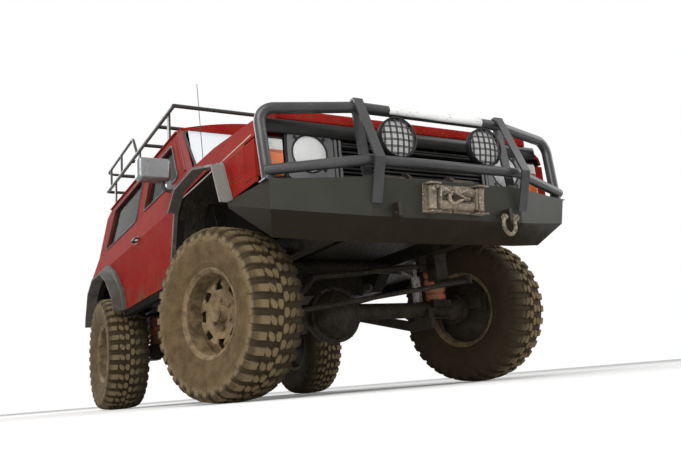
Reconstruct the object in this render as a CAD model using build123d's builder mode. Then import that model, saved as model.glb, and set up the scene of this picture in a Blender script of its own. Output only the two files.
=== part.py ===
from build123d import *
import os
from math import atan2, cos, degrees, hypot, radians, sin, sqrt

os.makedirs("parts", exist_ok=True)

# Lifted three-door off-road wagon, in millimetres.
# X points forward, Y to the vehicle's left, Z up, and the wheels stand on Z = 0.
# Most places are given as a distance ahead of the front axle, behind it when negative.

# Wheels and axles
wheelbase = 2400
tyre_radius = 425
tyre_width = 300
rim_radius = 222
rim_width = 232
wheel_y = 812
kingpin_y = 625
rest_steer = 17
fit_gap = 0.3

# Overall reach
bar_tip_ahead = 960
body_aft = 840
spare_gap = 62

# Body section
wall = 45
side_y = 858
shoulder_z = 1130
belt_y = 790
belt_z = 1335
eave_y = 714
eave_z = 1710
gutter_y = 668
gutter_z = 1812
roof_z = 1905
side_top_z = 1790
sill_z = 655
floor_z = 720.3
floor_thick = 22
panel_gap = 6

# Places along the length, ahead of the front axle
rear_ahead = -wheelbase
tail_ahead = rear_ahead - body_aft
nose_ahead = 630
panel_back_ahead = 585
hood_rear_ahead = -410
post_ahead = -545
door_front_ahead = -600
screen_base_ahead = -560
screen_top_ahead = -1070
door_rear_ahead = -1665
firewall_ahead = -490
bar_gap = 8

# The front axle's X puts the origin at the middle of the whole length
spare_reach = body_aft + spare_gap + tyre_width
front_x = (wheelbase + spare_reach - bar_tip_ahead) / 2
rear_x = front_x - wheelbase
back_x = rear_x - body_aft
nose_x = front_x + nose_ahead
hub_z = tyre_radius


def ahead(distance):
    """X of a place that lies this far ahead of the front axle."""
    return front_x + distance


def both_sides(y):
    """The two Y values of a pair, right then left."""
    return (-y, y)


# Body section, drawn on a plane across the car: local x is Y and local y is Z
section_floor_z = 540


def body_section(plane, inset):
    """Outline of the cabin on a plane across the car, moved inwards by inset."""
    with BuildSketch(plane) as section:
        with BuildLine():
            sides = Polyline(
                (-gutter_y, gutter_z),
                (-eave_y, eave_z),
                (-belt_y, belt_z),
                (-side_y, shoulder_z),
                (-side_y, section_floor_z),
                (side_y, section_floor_z),
                (side_y, shoulder_z),
                (belt_y, belt_z),
                (eave_y, eave_z),
                (gutter_y, gutter_z),
            )
            ThreePointArc(sides @ 1, (0, roof_z), sides @ 0)
        make_face()
        if inset > 0:
            offset(amount=-inset, kind=Kind.INTERSECTION, mode=Mode.REPLACE)
    return section.sketch


def side_outline(points, radius):
    """Closed outline seen from the side: a table of (ahead of the front axle, height)."""
    with BuildSketch(Plane.XZ) as outline:
        with BuildLine():
            Polyline([(ahead(x), z) for x, z in points], close=True)
        make_face()
        if radius > 0:
            fillet(outline.vertices(), radius)
    return outline.sketch


rear_section = Plane.YZ.offset(back_x)
body_length = nose_x - back_x
cabin_length = ahead(post_ahead) - back_x
outer_section = body_section(rear_section, 0)
inner_section = body_section(rear_section, wall)
glass_outer_section = body_section(rear_section, wall * 0.4)
glass_inner_section = body_section(rear_section, wall * 0.4 + 6)
rear_opening_section = body_section(rear_section, wall + panel_gap)
wide = 1000

# Side outlines: (ahead of the front axle, height)
front_arch = [(-750, 500), (-714, 647), (-636, 756), (-534, 1074), (-400, 1172), (-60, 1190),
              (228, 1119), (325, 915), (345, 500)]
rear_arch = [(rear_ahead - 690, 500), (rear_ahead - 665, 760), (rear_ahead - 560, 960),
             (rear_ahead - 360, 1052), (rear_ahead - 40, 1052), (rear_ahead + 180, 960),
             (rear_ahead + 400, 800), (rear_ahead + 470, sill_z), (rear_ahead + 520, 500)]
side_panel = [(-760, sill_z), (-700, 690), (-600, 870), (post_ahead, 1060), (post_ahead, belt_z),
              (screen_base_ahead, belt_z), (-1049, side_top_z), (tail_ahead, side_top_z), (tail_ahead, 745),
              (rear_ahead - 675, 705), (rear_ahead + 470, sill_z)]
door_edge = [(-730, 700), (-655, 870), (door_front_ahead, 1060), (door_front_ahead, 1290),
             (-1061, 1742), (door_rear_ahead, 1742), (door_rear_ahead, 700)]
door_window = [(-755, 1366), (-1086, 1690), (-1610, 1690), (-1610, 1366)]
quarter_window = [(-1828, 1348), (-1852, 1712), (tail_ahead + 371, 1700), (tail_ahead + 309, 1348)]
hood_side = [(hood_rear_ahead, 1312), (hood_rear_ahead, 1342), (-60, 1330), (520, 1262), (618, 1240),
             (634, 1222), (634, 1206), (610, 1206), (-60, 1296)]

arch_profile = side_outline(front_arch, 0)
rear_arch_profile = side_outline(rear_arch, 0)
door_profile = side_outline(door_edge, 0)
door_window_profile = side_outline(door_window, 26)
quarter_window_profile = side_outline(quarter_window, 40)

# Ladder frame: two rails that rise ahead of the cabin, with crossmembers and spring towers
rail_y = 402
rail_width = 80
rail_height = 118
rail_mid_z = 602
rail_front_z = 722
rail_front_ahead = 800
rail_rear_ahead = tail_ahead + 25
spring_y = 505
spring_pad = 66
front_seat_z = 745
rear_seat_z = 700
crossmember_radius = 38
pitman_place = Vector(ahead(130), 440, 0)
pitman_z = 560
steering_box_z = 576
panhard_ahead = 100
rear_panhard_aft = 120
panhard_frame_y = rail_y - rail_width / 2 - 30
with BuildPart() as frame:
    with BuildSketch(Plane.XZ):
        with BuildLine():
            Polyline(
                (ahead(rail_rear_ahead), rail_mid_z),
                (ahead(-480), rail_mid_z),
                (ahead(-340), rail_front_z),
                (ahead(rail_front_ahead), rail_front_z),
                (ahead(rail_front_ahead), rail_front_z + rail_height),
                (ahead(-360), rail_front_z + rail_height),
                (ahead(-482), rail_mid_z + rail_height),
                (ahead(rail_rear_ahead), rail_mid_z + rail_height),
                close=True,
            )
        make_face()
    extrude(amount=rail_y + rail_width / 2, both=True)
    with BuildSketch(Plane.XZ):
        with Locations((0, rail_mid_z + rail_height)):
            Rectangle(6000, 1000)
    extrude(amount=rail_y - rail_width / 2, both=True, mode=Mode.SUBTRACT)
    # Round crossmembers: ahead of the front axle, height
    for member_ahead, member_z in [(560, 780), (-250, 720), (-1350, 655), (-1800, 655),
                                   (rail_rear_ahead + 65, 655)]:
        with Locations((ahead(member_ahead), 0, member_z)):
            Cylinder(crossmember_radius, 2 * rail_y, rotation=(90, 0, 0))
    # Spring seats that stand out from the rails: ahead of the front axle, underside height
    for seat_ahead, seat_z in [(0, front_seat_z), (-wheelbase, rear_seat_z)]:
        for y in both_sides((rail_y + spring_y + spring_pad) / 2):
            with Locations((ahead(seat_ahead), y, seat_z + 9)):
                Box(2 * spring_pad, spring_y + spring_pad - rail_y, 18)
    # Arm brackets below the rails: ahead of the front axle, top height, depth
    for bracket_ahead, bracket_z, bracket_depth in [(-870, rail_mid_z, 150), (-1580, rail_mid_z, 120)]:
        for y in both_sides(rail_y):
            with Locations((ahead(bracket_ahead), y, bracket_z - bracket_depth / 2)):
                Box(90, 60, bracket_depth)
    # Rear shock towers, panhard brackets and the steering box
    for y in both_sides(500):
        with Locations((rear_x - 130, y, rear_seat_z + 9)):
            Box(60, 160, 18)
    with Locations((ahead(panhard_ahead), panhard_frame_y + 25, (rail_front_z + 634) / 2)):
        Box(34, 50, rail_front_z - 634)
    with Locations((rear_x - rear_panhard_aft, panhard_frame_y + 25, rail_mid_z + rail_height / 2)):
        Box(34, 50, 100)
    with Locations((pitman_place.X, pitman_place.Y, (steering_box_z + rail_front_z) / 2)):
        Box(84, 80, rail_front_z - steering_box_z)
frame.part.label = "frame"
export_step(frame.part, "parts/frame.step")

# Floor pan with the firewall and the two rear wheel housings
floor_y = side_y - wall - fit_gap
housing_y = 600
housing_top = 1085
housing_front_ahead = rear_ahead + 510
housing_rear_ahead = rear_ahead - 720
sheet = 8
with BuildPart() as floor:
    with BuildSketch(Plane.XY.offset(floor_z)):
        with BuildLine():
            Polyline(
                (back_x + wall + panel_gap, -floor_y),
                (ahead(firewall_ahead) - 160, -floor_y),
                (ahead(firewall_ahead), -floor_y + 200),
                (ahead(firewall_ahead), floor_y - 200),
                (ahead(firewall_ahead) - 160, floor_y),
                (back_x + wall + panel_gap, floor_y),
                close=True,
            )
        make_face()
    extrude(amount=floor_thick)
    # Firewall up to the cowl
    with BuildSketch(Plane.YZ.offset(ahead(firewall_ahead) - floor_thick)):
        with BuildLine():
            Polyline(
                (-floor_y + 200, floor_z),
                (floor_y - 200, floor_z),
                (floor_y - 200, 900),
                (belt_y - 90, 1285),
                (-belt_y + 90, 1285),
                (-floor_y + 200, 900),
                close=True,
            )
        make_face()
    extrude(amount=floor_thick)
    housing_x = ahead((housing_front_ahead + housing_rear_ahead) / 2)
    housing_mid_z = (housing_top + floor_z) / 2
    for y in both_sides((floor_y + housing_y) / 2):
        with Locations((housing_x, y, housing_mid_z)):
            Box(housing_front_ahead - housing_rear_ahead, floor_y - housing_y, housing_top - floor_z)
    for y in both_sides((floor_y + housing_y + 2 * sheet) / 2):
        with Locations((housing_x, y, housing_mid_z - sheet)):
            Box(
                housing_front_ahead - housing_rear_ahead - 2 * sheet,
                floor_y - housing_y,
                housing_top - floor_z,
                mode=Mode.SUBTRACT,
            )
floor.part.label = "floor"
export_step(floor.part, "parts/floor.step")

# Hinges of the rear doors: the body's barrel stands on the door's
rear_axis_out = 8
rear_axis_y = 812
rear_hinge_heights = (800, 1200)
hinge_barrel = 7
hinge_half = 24

# Whole side of the cabin with its openings, before it is parted behind the side doors
with BuildPart() as side_shell:
    extrude(outer_section, amount=cabin_length)
    extrude(inner_section, amount=cabin_length, mode=Mode.SUBTRACT)
    extrude(side_outline(side_panel, 0), amount=wide, both=True, mode=Mode.INTERSECT)
    extrude(rear_arch_profile, amount=wide, both=True, mode=Mode.SUBTRACT)
    door_hole = [(-722, 695), (-648, 868), (door_front_ahead + panel_gap, 1058),
                 (door_front_ahead + panel_gap, 1293), (-1059, 1748), (door_rear_ahead - panel_gap, 1748),
                 (door_rear_ahead - panel_gap, 695)]
    extrude(side_outline(door_hole, 0), amount=wide, both=True, mode=Mode.SUBTRACT)
    extrude(quarter_window_profile, amount=wide, both=True, mode=Mode.SUBTRACT)
    for side in (-1, 1):
        for z in rear_hinge_heights:
            with Locations((back_x - rear_axis_out, side * rear_axis_y, z + hinge_half / 2 + fit_gap / 2)):
                Cylinder(hinge_barrel, hinge_half)
            with Locations((
                back_x - rear_axis_out + 3,
                side * (rear_axis_y + 6),
                z + hinge_half / 2 + fit_gap / 2,
            )):
                Box(14, 12, hinge_half)
    with Locations((0, 0, side_top_z)):
        Box(6000, 2 * (gutter_y - wall + 4), 400, mode=Mode.SUBTRACT)

# Side bodies: windscreen pillar, sill and roof rail around each side door
quarter_seam = ahead(door_rear_ahead - panel_gap)
with BuildPart() as body_sides:
    add(side_shell.part)
    with Locations((quarter_seam + fit_gap, 0, 0)):
        Box(body_length, 2 * wide, 2 * roof_z, align=(Align.MIN, Align.CENTER, Align.MIN), mode=Mode.INTERSECT)
body_sides.part.label = "body_sides"
export_step(body_sides.part, "parts/body_sides.step")

# Rear quarters: door pillar, quarter window and wheel arch, back to the rear door hinges
with BuildPart() as rear_quarters:
    add(side_shell.part)
    with Locations((quarter_seam, 0, 0)):
        Box(body_length, 2 * wide, 2 * roof_z, align=(Align.MAX, Align.CENTER, Align.MIN), mode=Mode.INTERSECT)
rear_quarters.part.label = "rear_quarters"
export_step(rear_quarters.part, "parts/rear_quarters.step")

# Roof panel with the header over the screen and the one over the rear doors
roof_length = ahead(screen_top_ahead) - back_x
roof_under_z = side_top_z + fit_gap
with BuildPart() as roof:
    extrude(outer_section, amount=roof_length)
    with BuildSketch(Plane.XZ):
        with Locations((back_x + roof_length / 2, roof_under_z + 200)):
            Rectangle(2 * roof_length, 400)
    extrude(amount=wide, both=True, mode=Mode.INTERSECT)
    extrude(inner_section.moved(Location((wall, 0, 0))), amount=roof_length - 2 * wall, mode=Mode.SUBTRACT)
roof.part.label = "roof"
export_step(roof.part, "parts/roof.step")

# Cowl between the hood and the windscreen
cowl_y = belt_y - wall - 2
cowl_z = 1338
hood_hinge_y = 520
hood_hinge_length = 52
hood_axis_ahead = hood_rear_ahead + 3
hood_axis_z = 1335.5
hood_barrel = 5
with BuildPart() as cowl:
    with BuildSketch(Plane.XZ):
        with BuildLine():
            Polyline(
                (ahead(hood_rear_ahead) - bar_gap, 1285 + fit_gap),
                (ahead(hood_rear_ahead) - bar_gap, cowl_z),
                (ahead(screen_base_ahead) + 2 + fit_gap, cowl_z),
                (ahead(screen_base_ahead) + 2 + fit_gap, cowl_z - 5),
                (ahead(screen_base_ahead) - 3, cowl_z - 5),
                (ahead(screen_base_ahead) - 3, 1300),
                (ahead(screen_base_ahead) + 54, 1300),
                (ahead(screen_base_ahead) + 54, 1285 + fit_gap),
                close=True,
            )
        make_face()
    extrude(amount=cowl_y, both=True)
    # Hinge barrels that carry the hood
    for y in both_sides(hood_hinge_y):
        with Locations((ahead(hood_axis_ahead), y, hood_axis_z)):
            Cylinder(hood_barrel, hood_hinge_length, rotation=(90, 0, 0))
        with Locations((ahead(hood_axis_ahead) - 10, y, hood_axis_z - 1)):
            Box(20, hood_hinge_length, 6)
cowl.part.label = "cowl"
export_step(cowl.part, "parts/cowl.step")

# Front fenders: outer skin with the cut-out arch, top ledge beside the hood, inner apron
hood_y = 748
fender_ledge_y = hood_y + panel_gap
apron_y = 585
fender_skin = 14
fender_edge = [(post_ahead + fit_gap, 1000), (post_ahead + fit_gap, belt_z), (-60, 1322), (520, 1254),
               (600, 1236), (nose_ahead, 1180), (nose_ahead, 930), (300, 930)]
fender_hollow = [(-700, 600), (-700, 1300), (-60, 1296), (520, 1228), (nose_ahead - 10, 1180),
                 (nose_ahead + 90, 1100), (nose_ahead + 90, 600)]
apron_rear_ahead = -465
apron_front_ahead = panel_back_ahead - 30
apron_thick = 8
apron_low_z = 850
shelf_z = 1196
shelf_y = 828
corner_ahead = 574
corner_y = 784
corner_z = 1048
corner_length = 118
corner_width = 140
corner_height = 186
with BuildPart() as fender_core:
    extrude(body_section(rear_section, fender_skin).moved(Location((cabin_length - 100, 0, 0))), amount=2000)
    extrude(side_outline(fender_hollow, 0), amount=wide, both=True, mode=Mode.INTERSECT)
with BuildPart() as front_fenders:
    extrude(outer_section.moved(Location((cabin_length, 0, 0))), amount=nose_x - ahead(post_ahead))
    extrude(side_outline(fender_edge, 0), amount=wide, both=True, mode=Mode.INTERSECT)
    extrude(arch_profile, amount=wide, both=True, mode=Mode.SUBTRACT)
    add(fender_core.part, mode=Mode.SUBTRACT)
    with Locations((ahead(0), 0, 1100)):
        Box(2600, 2 * fender_ledge_y, 700, mode=Mode.SUBTRACT)
    # Inner aprons beside the engine, each with its shelf out to the fender
    for side in (-1, 1):
        with Locations((ahead((apron_rear_ahead + apron_front_ahead) / 2), side * apron_y,
                        (apron_low_z + shelf_z) / 2)):
            Box(apron_front_ahead - apron_rear_ahead, apron_thick, shelf_z - apron_low_z)
        with Locations((ahead(apron_rear_ahead), side * apron_y, shelf_z)):
            Box(
                panel_back_ahead - fit_gap - apron_rear_ahead,
                shelf_y - apron_y,
                apron_thick,
                align=(Align.MIN, Align.MIN if side > 0 else Align.MAX, Align.MAX),
            )
    # Pockets for the corner lamps
    with Locations(*[(ahead(corner_ahead), y, corner_z) for y in both_sides(corner_y + 50)]):
        Box(
            corner_length + 2 * fit_gap,
            corner_width + 2 * fit_gap + 100,
            corner_height + 2 * fit_gap,
            mode=Mode.SUBTRACT,
        )
front_fenders.part.label = "front_fenders"
export_step(front_fenders.part, "parts/front_fenders.step")

# Hood: a thin folded panel, hinged along its rear edge
with BuildPart() as hood:
    extrude(side_outline(hood_side, 0), amount=hood_y, both=True)
    with Locations(*[(ahead(hood_rear_ahead), y, hood_axis_z - 5) for y in both_sides(hood_hinge_y)]):
        Box(28, hood_hinge_length + 2 * fit_gap, 100, mode=Mode.SUBTRACT)
hood.part.label = "hood"
export_step(hood.part, "parts/hood.step")

# Front panel: lamp surrounds, grille opening with its slats
lamp_y = 582
lamp_z = 1082
lamp_radius = 86
lamp_fit = 0.4
panel_front_ahead = 625
panel_bottom_z = 945
panel_top_z = 1196
grille_y = 440
slat_count = 9
slat_height = 8
with BuildPart() as grille:
    panel_x = ahead((panel_back_ahead + panel_front_ahead) / 2)
    with Locations((panel_x, 0, (panel_bottom_z + panel_top_z) / 2)):
        Box(panel_front_ahead - panel_back_ahead, 2 * 706, panel_top_z - panel_bottom_z)
        Box(100, 2 * grille_y, panel_top_z - panel_bottom_z - 50, mode=Mode.SUBTRACT)
    with BuildSketch(Plane.YZ.offset(ahead(panel_back_ahead) - 10)):
        with Locations((-lamp_y, lamp_z), (lamp_y, lamp_z)):
            Circle(lamp_radius + lamp_fit)
    extrude(amount=100, mode=Mode.SUBTRACT)
    slat_pitch = (panel_top_z - panel_bottom_z - 50) / (slat_count + 1)
    for slat in range(slat_count):
        with Locations((ahead(608), 0, panel_bottom_z + 25 + slat_pitch * (slat + 1))):
            Box(26, 2 * grille_y + 10, slat_height)
    for y in (-150, 150):
        with Locations((ahead(600), y, (panel_bottom_z + panel_top_z) / 2)):
            Box(18, 12, panel_top_z - panel_bottom_z - 40)
grille.part.label = "grille"
export_step(grille.part, "parts/grille.step")

# Radiator behind the grille
with BuildPart() as radiator:
    with Locations((ahead(540), 0, 780 + crossmember_radius + fit_gap + 180)):
        Box(50, 2 * (rail_y - rail_width / 2) - 20, 360)
radiator.part.label = "radiator"
export_step(radiator.part, "parts/radiator.step")

def dome_middle(edge_x, edge_radius, front_x_place):
    """Middle point (x, radius) of a spherical dome from its edge to its front on the axis."""
    rise = front_x_place - edge_x
    sphere = (edge_radius**2 + rise**2) / (2 * rise)
    half_angle = atan2(edge_radius, sphere - rise) / 2
    return (front_x_place - sphere + sphere * cos(half_angle), sphere * sin(half_angle))


# Round headlamps, each a bowl with a domed lens
with BuildPart() as headlights:
    for y in both_sides(lamp_y):
        with BuildSketch(Plane.XZ.offset(-y)):
            with BuildLine():
                face = ahead(panel_front_ahead)
                lens_x, lens_r = dome_middle(face + 2, lamp_radius, face + 22)
                Polyline(
                    (face + 22, lamp_z),
                    (face - 55, lamp_z),
                    (face - 50, lamp_z + 42),
                    (face - 18, lamp_z + lamp_radius),
                    (face + 2, lamp_z + lamp_radius),
                )
                ThreePointArc((face + 2, lamp_z + lamp_radius), (lens_x, lamp_z + lens_r), (face + 22, lamp_z))
            make_face()
        revolve(axis=Axis((0, y, lamp_z), (1, 0, 0)))
headlights.part.label = "headlights"
export_step(headlights.part, "parts/headlights.step")

# Signal lamps: two wrap-around corner lamps in front and two upright clusters behind
cluster_depth = 22
cluster_height = 300
cluster_z = 1010
with BuildPart() as signal_lamps:
    for y in both_sides(corner_y):
        with Locations((ahead(corner_ahead), y, corner_z)):
            Box(corner_length, corner_width, corner_height)
    for y in both_sides(side_y - wall / 2):
        with Locations((back_x - cluster_depth / 2 - fit_gap, y, cluster_z)):
            Box(cluster_depth, wall - 4, cluster_height)
    front_edges = signal_lamps.edges().filter_by(Axis.Z).sort_by(Axis.X)[-4:]
    fillet(front_edges, 12)
signal_lamps.part.label = "signal_lamps"
export_step(signal_lamps.part, "parts/signal_lamps.step")

# Fixed glass: windscreen and the two quarter windows
screen_rise = side_top_z + 20 - belt_z
screen_run = screen_top_ahead - screen_base_ahead
with BuildPart() as fixed_glass:
    extrude(glass_outer_section, amount=cabin_length)
    extrude(glass_inner_section, amount=cabin_length, mode=Mode.SUBTRACT)
    extrude(quarter_window_profile, amount=wide, both=True, mode=Mode.INTERSECT)
    screen_plane = Plane(
        origin=(ahead(screen_base_ahead) + 2, 0, belt_z + 3),
        x_dir=(0, 1, 0),
        z_dir=(screen_rise, 0, -screen_run),
    )
    screen_height = hypot(screen_rise, screen_run) - 14
    with BuildSketch(screen_plane):
        with BuildLine():
            Polyline(
                (-belt_y + wall + 6, 0),
                (belt_y - wall - 6, 0),
                (gutter_y - wall - 6, screen_height),
                (-gutter_y + wall + 6, screen_height),
                close=True,
            )
        make_face()
    extrude(amount=-6)
fixed_glass.part.label = "fixed_glass"
export_step(fixed_glass.part, "parts/fixed_glass.step")

# Side doors with window frames, their glass and their mirrors: name, side of the car
mirror_ahead = -712
mirror_y = 948
mirror_z = 1388
foot_y = side_y - (side_y - belt_y) * (mirror_z - 119 - shoulder_z) / (belt_z - shoulder_z) + fit_gap
for name, side in [("right", -1), ("left", 1)]:
    with BuildPart() as door:
        extrude(outer_section, amount=cabin_length)
        extrude(inner_section, amount=cabin_length, mode=Mode.SUBTRACT)
        extrude(door_profile, amount=-side * wide, mode=Mode.INTERSECT)
        extrude(door_window_profile, amount=-side * wide, mode=Mode.SUBTRACT)
    door.part.label = f"door_{name}"
    export_step(door.part, f"parts/door_{name}.step")

    with BuildPart() as pane:
        extrude(glass_outer_section, amount=cabin_length)
        extrude(glass_inner_section, amount=cabin_length, mode=Mode.SUBTRACT)
        extrude(door_window_profile, amount=-side * wide, mode=Mode.INTERSECT)
    pane.part.label = f"door_glass_{name}"
    export_step(pane.part, f"parts/door_glass_{name}.step")

    with BuildPart() as mirror:
        with Locations((ahead(mirror_ahead), side * mirror_y, mirror_z)):
            Box(74, 200, 142)
        fillet(mirror.edges().filter_by(Axis.X), 26)
        fillet(mirror.faces().sort_by(Axis.X)[-1].edges(), 24)
        with Locations((ahead(mirror_ahead), side * (foot_y + 30), mirror_z - 104)):
            Box(34, 60, 30)
        with Locations((ahead(mirror_ahead), side * 860, mirror_z - 84)):
            Box(30, 26, 60)
    mirror.part.label = f"mirror_{name}"
    export_step(mirror.part, f"parts/mirror_{name}.step")

# Rear doors of unequal width: name, inner edge, outer side
split_y = 226
rear_door_bottom = 752
rear_door_top = 1784
rear_window_bottom = 1350
rear_window_top = 1700
spare_y = -222
spare_z = 1152
disc_face = 20
carrier_radius = 58
for name, low_y, high_y, window_low, window_high in [
    ("large", -wide, split_y - panel_gap, -640, 158),
    ("small", split_y, wide, 290, 640),
]:
    with BuildPart() as rear_door:
        extrude(rear_opening_section, amount=wall)
        with BuildSketch(Plane.YZ.offset(back_x)):
            with Locations(((low_y + high_y) / 2, (rear_door_bottom + rear_door_top) / 2)):
                Rectangle(high_y - low_y, rear_door_top - rear_door_bottom)
        extrude(amount=wall, mode=Mode.INTERSECT)
        with BuildSketch(Plane.YZ.offset(back_x)) as rear_window:
            with Locations(((window_low + window_high) / 2, (rear_window_bottom + rear_window_top) / 2)):
                RectangleRounded(window_high - window_low, rear_window_top - rear_window_bottom, 40)
        extrude(amount=wall, mode=Mode.SUBTRACT)
        hinge_side = -1 if name == "large" else 1
        for z in rear_hinge_heights:
            low = z - hinge_half / 2 - fit_gap / 2
            with Locations((back_x - rear_axis_out, hinge_side * rear_axis_y, low)):
                Cylinder(hinge_barrel, hinge_half)
            with Locations((back_x - rear_axis_out, hinge_side * (rear_axis_y - 35), low)):
                Box(8, 70, hinge_half)
            with Locations((back_x - 2, hinge_side * (rear_axis_y - 55), low)):
                Box(8, 30, hinge_half)
        if name == "large":
            with BuildSketch(Plane.YZ.offset(back_x)):
                with Locations((spare_y, spare_z)):
                    Circle(carrier_radius)
            extrude(amount=-(spare_gap + tyre_width / 2 + disc_face - fit_gap))
    rear_door.part.label = f"rear_door_{name}"
    export_step(rear_door.part, f"parts/rear_door_{name}.step")

    with BuildPart() as rear_pane:
        extrude(rear_window.sketch.moved(Location((wall * 0.4, 0, 0))), amount=6)
    rear_pane.part.label = f"rear_glass_{name}"
    export_step(rear_pane.part, f"parts/rear_glass_{name}.step")

# Front bumper: a folded plate with a face, an undercut lower plate and swept-back wings.
# Each row is a section across the fold lines: where its top edge is, which way is inwards,
# then the face and lower edges as (inwards, height), the top flange's depth and the plate.
bumper_top = 908
bumper_rows = [
    # ahead, y, inwards degrees, face in, face z, low in, low z, flange, plate
    (900, 0, 180, 26, 735, 172, 652, 120, 8),
    (890, 420, 160, 28, 738, 186, 656, 124, 8),
    (752, 850, 204, 24, 783, 172, 692, 60, 7),
    (356, 890, 262, 3, 893, 7, 880, 14, 4),
]


def bumper_section(row, side):
    """One folded section of the bumper plate as a closed outline."""
    along, y, heading, face_in, face_z, low_in, low_z, flange, plate = row
    inward = Vector(cos(radians(heading)), side * sin(radians(heading)), 0)
    section_plane = Plane(
        origin=(ahead(along), side * y, 0),
        x_dir=inward,
        z_dir=inward.cross(Vector(0, 0, 1)),
    )
    with BuildSketch(section_plane) as section:
        with BuildLine():
            Polyline(
                (flange, bumper_top),
                (0, bumper_top),
                (face_in, face_z),
                (low_in, low_z),
                (low_in + plate * 0.8, low_z + plate * 0.6),
                (face_in + plate, face_z + plate * 0.5),
                (plate, bumper_top - plate),
                (flange, bumper_top - plate),
                close=True,
            )
        make_face()
    return section.sketch


face_lean = degrees(atan2(bumper_rows[0][3], bumper_top - bumper_rows[0][4]))
fairlead_z = 828
middle_top_ahead, middle_slope, middle_low_z = bumper_rows[0][0], bumper_rows[0][3], bumper_rows[0][4]
fairlead_drop = (bumper_top - fairlead_z) / (bumper_top - middle_low_z)
fairlead_face = ahead(middle_top_ahead - middle_slope * fairlead_drop)
fairlead_plane = Plane(
    origin=(fairlead_face + fit_gap, 0, fairlead_z),
    x_dir=(0, 1, 0),
    z_dir=(cos(radians(face_lean)), 0, -sin(radians(face_lean))),
)
fairlead_length = 336
fairlead_height = 130
fairlead_opening = 236
tow_eye_y = 314
tow_eye_z = 762
with BuildPart() as bumper:
    for side in (-1, 1):
        loft([bumper_section(row, side) for row in bumper_rows], ruled=True)
    # Mounting plates back to the rails
    for y in both_sides(rail_y):
        with Locations((ahead(rail_front_ahead + fit_gap + 29), y, 790)):
            Box(58, 60, 84)
    # Tow lugs welded on the face, the cable opening between them
    for y in both_sides(tow_eye_y):
        with Locations((ahead(890), y, tow_eye_z)):
            Box(60, 18, 62)
    with BuildSketch(fairlead_plane.offset(-60)):
        Rectangle(fairlead_opening, 66)
    extrude(amount=59, mode=Mode.SUBTRACT)
    with BuildSketch(Plane.XZ):
        with Locations((ahead(900), tow_eye_z - 8)):
            Circle(11)
    extrude(amount=tow_eye_y + 20, both=True, mode=Mode.SUBTRACT)
bumper.part.label = "bumper"
export_step(bumper.part, "parts/bumper.step")

# Bull bar: two tubes across, flat uprights and their braces, all welded together
hoop_radius = 26
cross_radius = 24
hoop_foot = (716, 838)
hoop_corner = (680, 852, 1252)
hoop_bend = (790, 412, 1266)
cross_end = (726, 856, 952)
cross_bend = (886, 421, 986)
upright_y = 414
strap_width = 50
strap = 10
pad_height = 6
spot_y = 252
spot_z = 1109
spot_ahead = 832
spot_radius = 100
spot_tab_z = 1001


def tube_corners(bend_list):
    """Corner points of a tube, left side first, then the same ones on the right."""
    left_points = [(ahead(x), y, z) for x, y, z in bend_list]
    right_points = [(ahead(x), -y, z) for x, y, z in reversed(bend_list)]
    return left_points + right_points


with BuildPart() as bull_bar:
    with BuildLine() as hoop_line:
        FilletPolyline(
            *tube_corners([(*hoop_foot, bumper_top + pad_height), hoop_corner, hoop_bend]),
            radius=70,
        )
    with BuildSketch(Plane(origin=hoop_line.wire() @ 0, z_dir=hoop_line.wire() % 0)):
        Circle(hoop_radius)
    sweep(path=hoop_line.wire())
    with BuildLine() as cross_line:
        FilletPolyline(*tube_corners([cross_end, cross_bend]), radius=70)
    with BuildSketch(Plane(origin=cross_line.wire() @ 0, z_dir=cross_line.wire() % 0)):
        Circle(cross_radius)
    sweep(path=cross_line.wire())
    for y in both_sides(hoop_foot[1]):
        with Locations((ahead(hoop_foot[0]), y, bumper_top + fit_gap + pad_height / 2)):
            Box(66, 56, pad_height)
    # Straps of the uprights as runs: from (ahead, height) to (ahead, height)
    for start, end in [((788, 1296), (812, 1296)), ((810, 1298), (954, 974)), ((954, 978), (892, 792)),
                       ((786, 1296), (838, bumper_top + fit_gap + 4))]:
        run = hypot(end[0] - start[0], end[1] - start[1])
        lean = degrees(atan2(end[1] - start[1], end[0] - start[0]))
        for y in both_sides(upright_y):
            with BuildSketch(Plane.XZ.offset(-y - strap_width / 2)):
                with Locations((ahead((start[0] + end[0]) / 2), (start[1] + end[1]) / 2)):
                    Rectangle(run + 4, strap, rotation=lean)
            extrude(amount=strap_width)
    # Tabs on the cross tube that carry the spotlights
    for y in both_sides(spot_y):
        with Locations((ahead((spot_ahead + cross_bend[0]) / 2 - 10), y, spot_tab_z)):
            Box(cross_bend[0] - spot_ahead + 20, 40, 6)
bull_bar.part.label = "bull_bar"
export_step(bull_bar.part, "parts/bull_bar.step")

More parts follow.
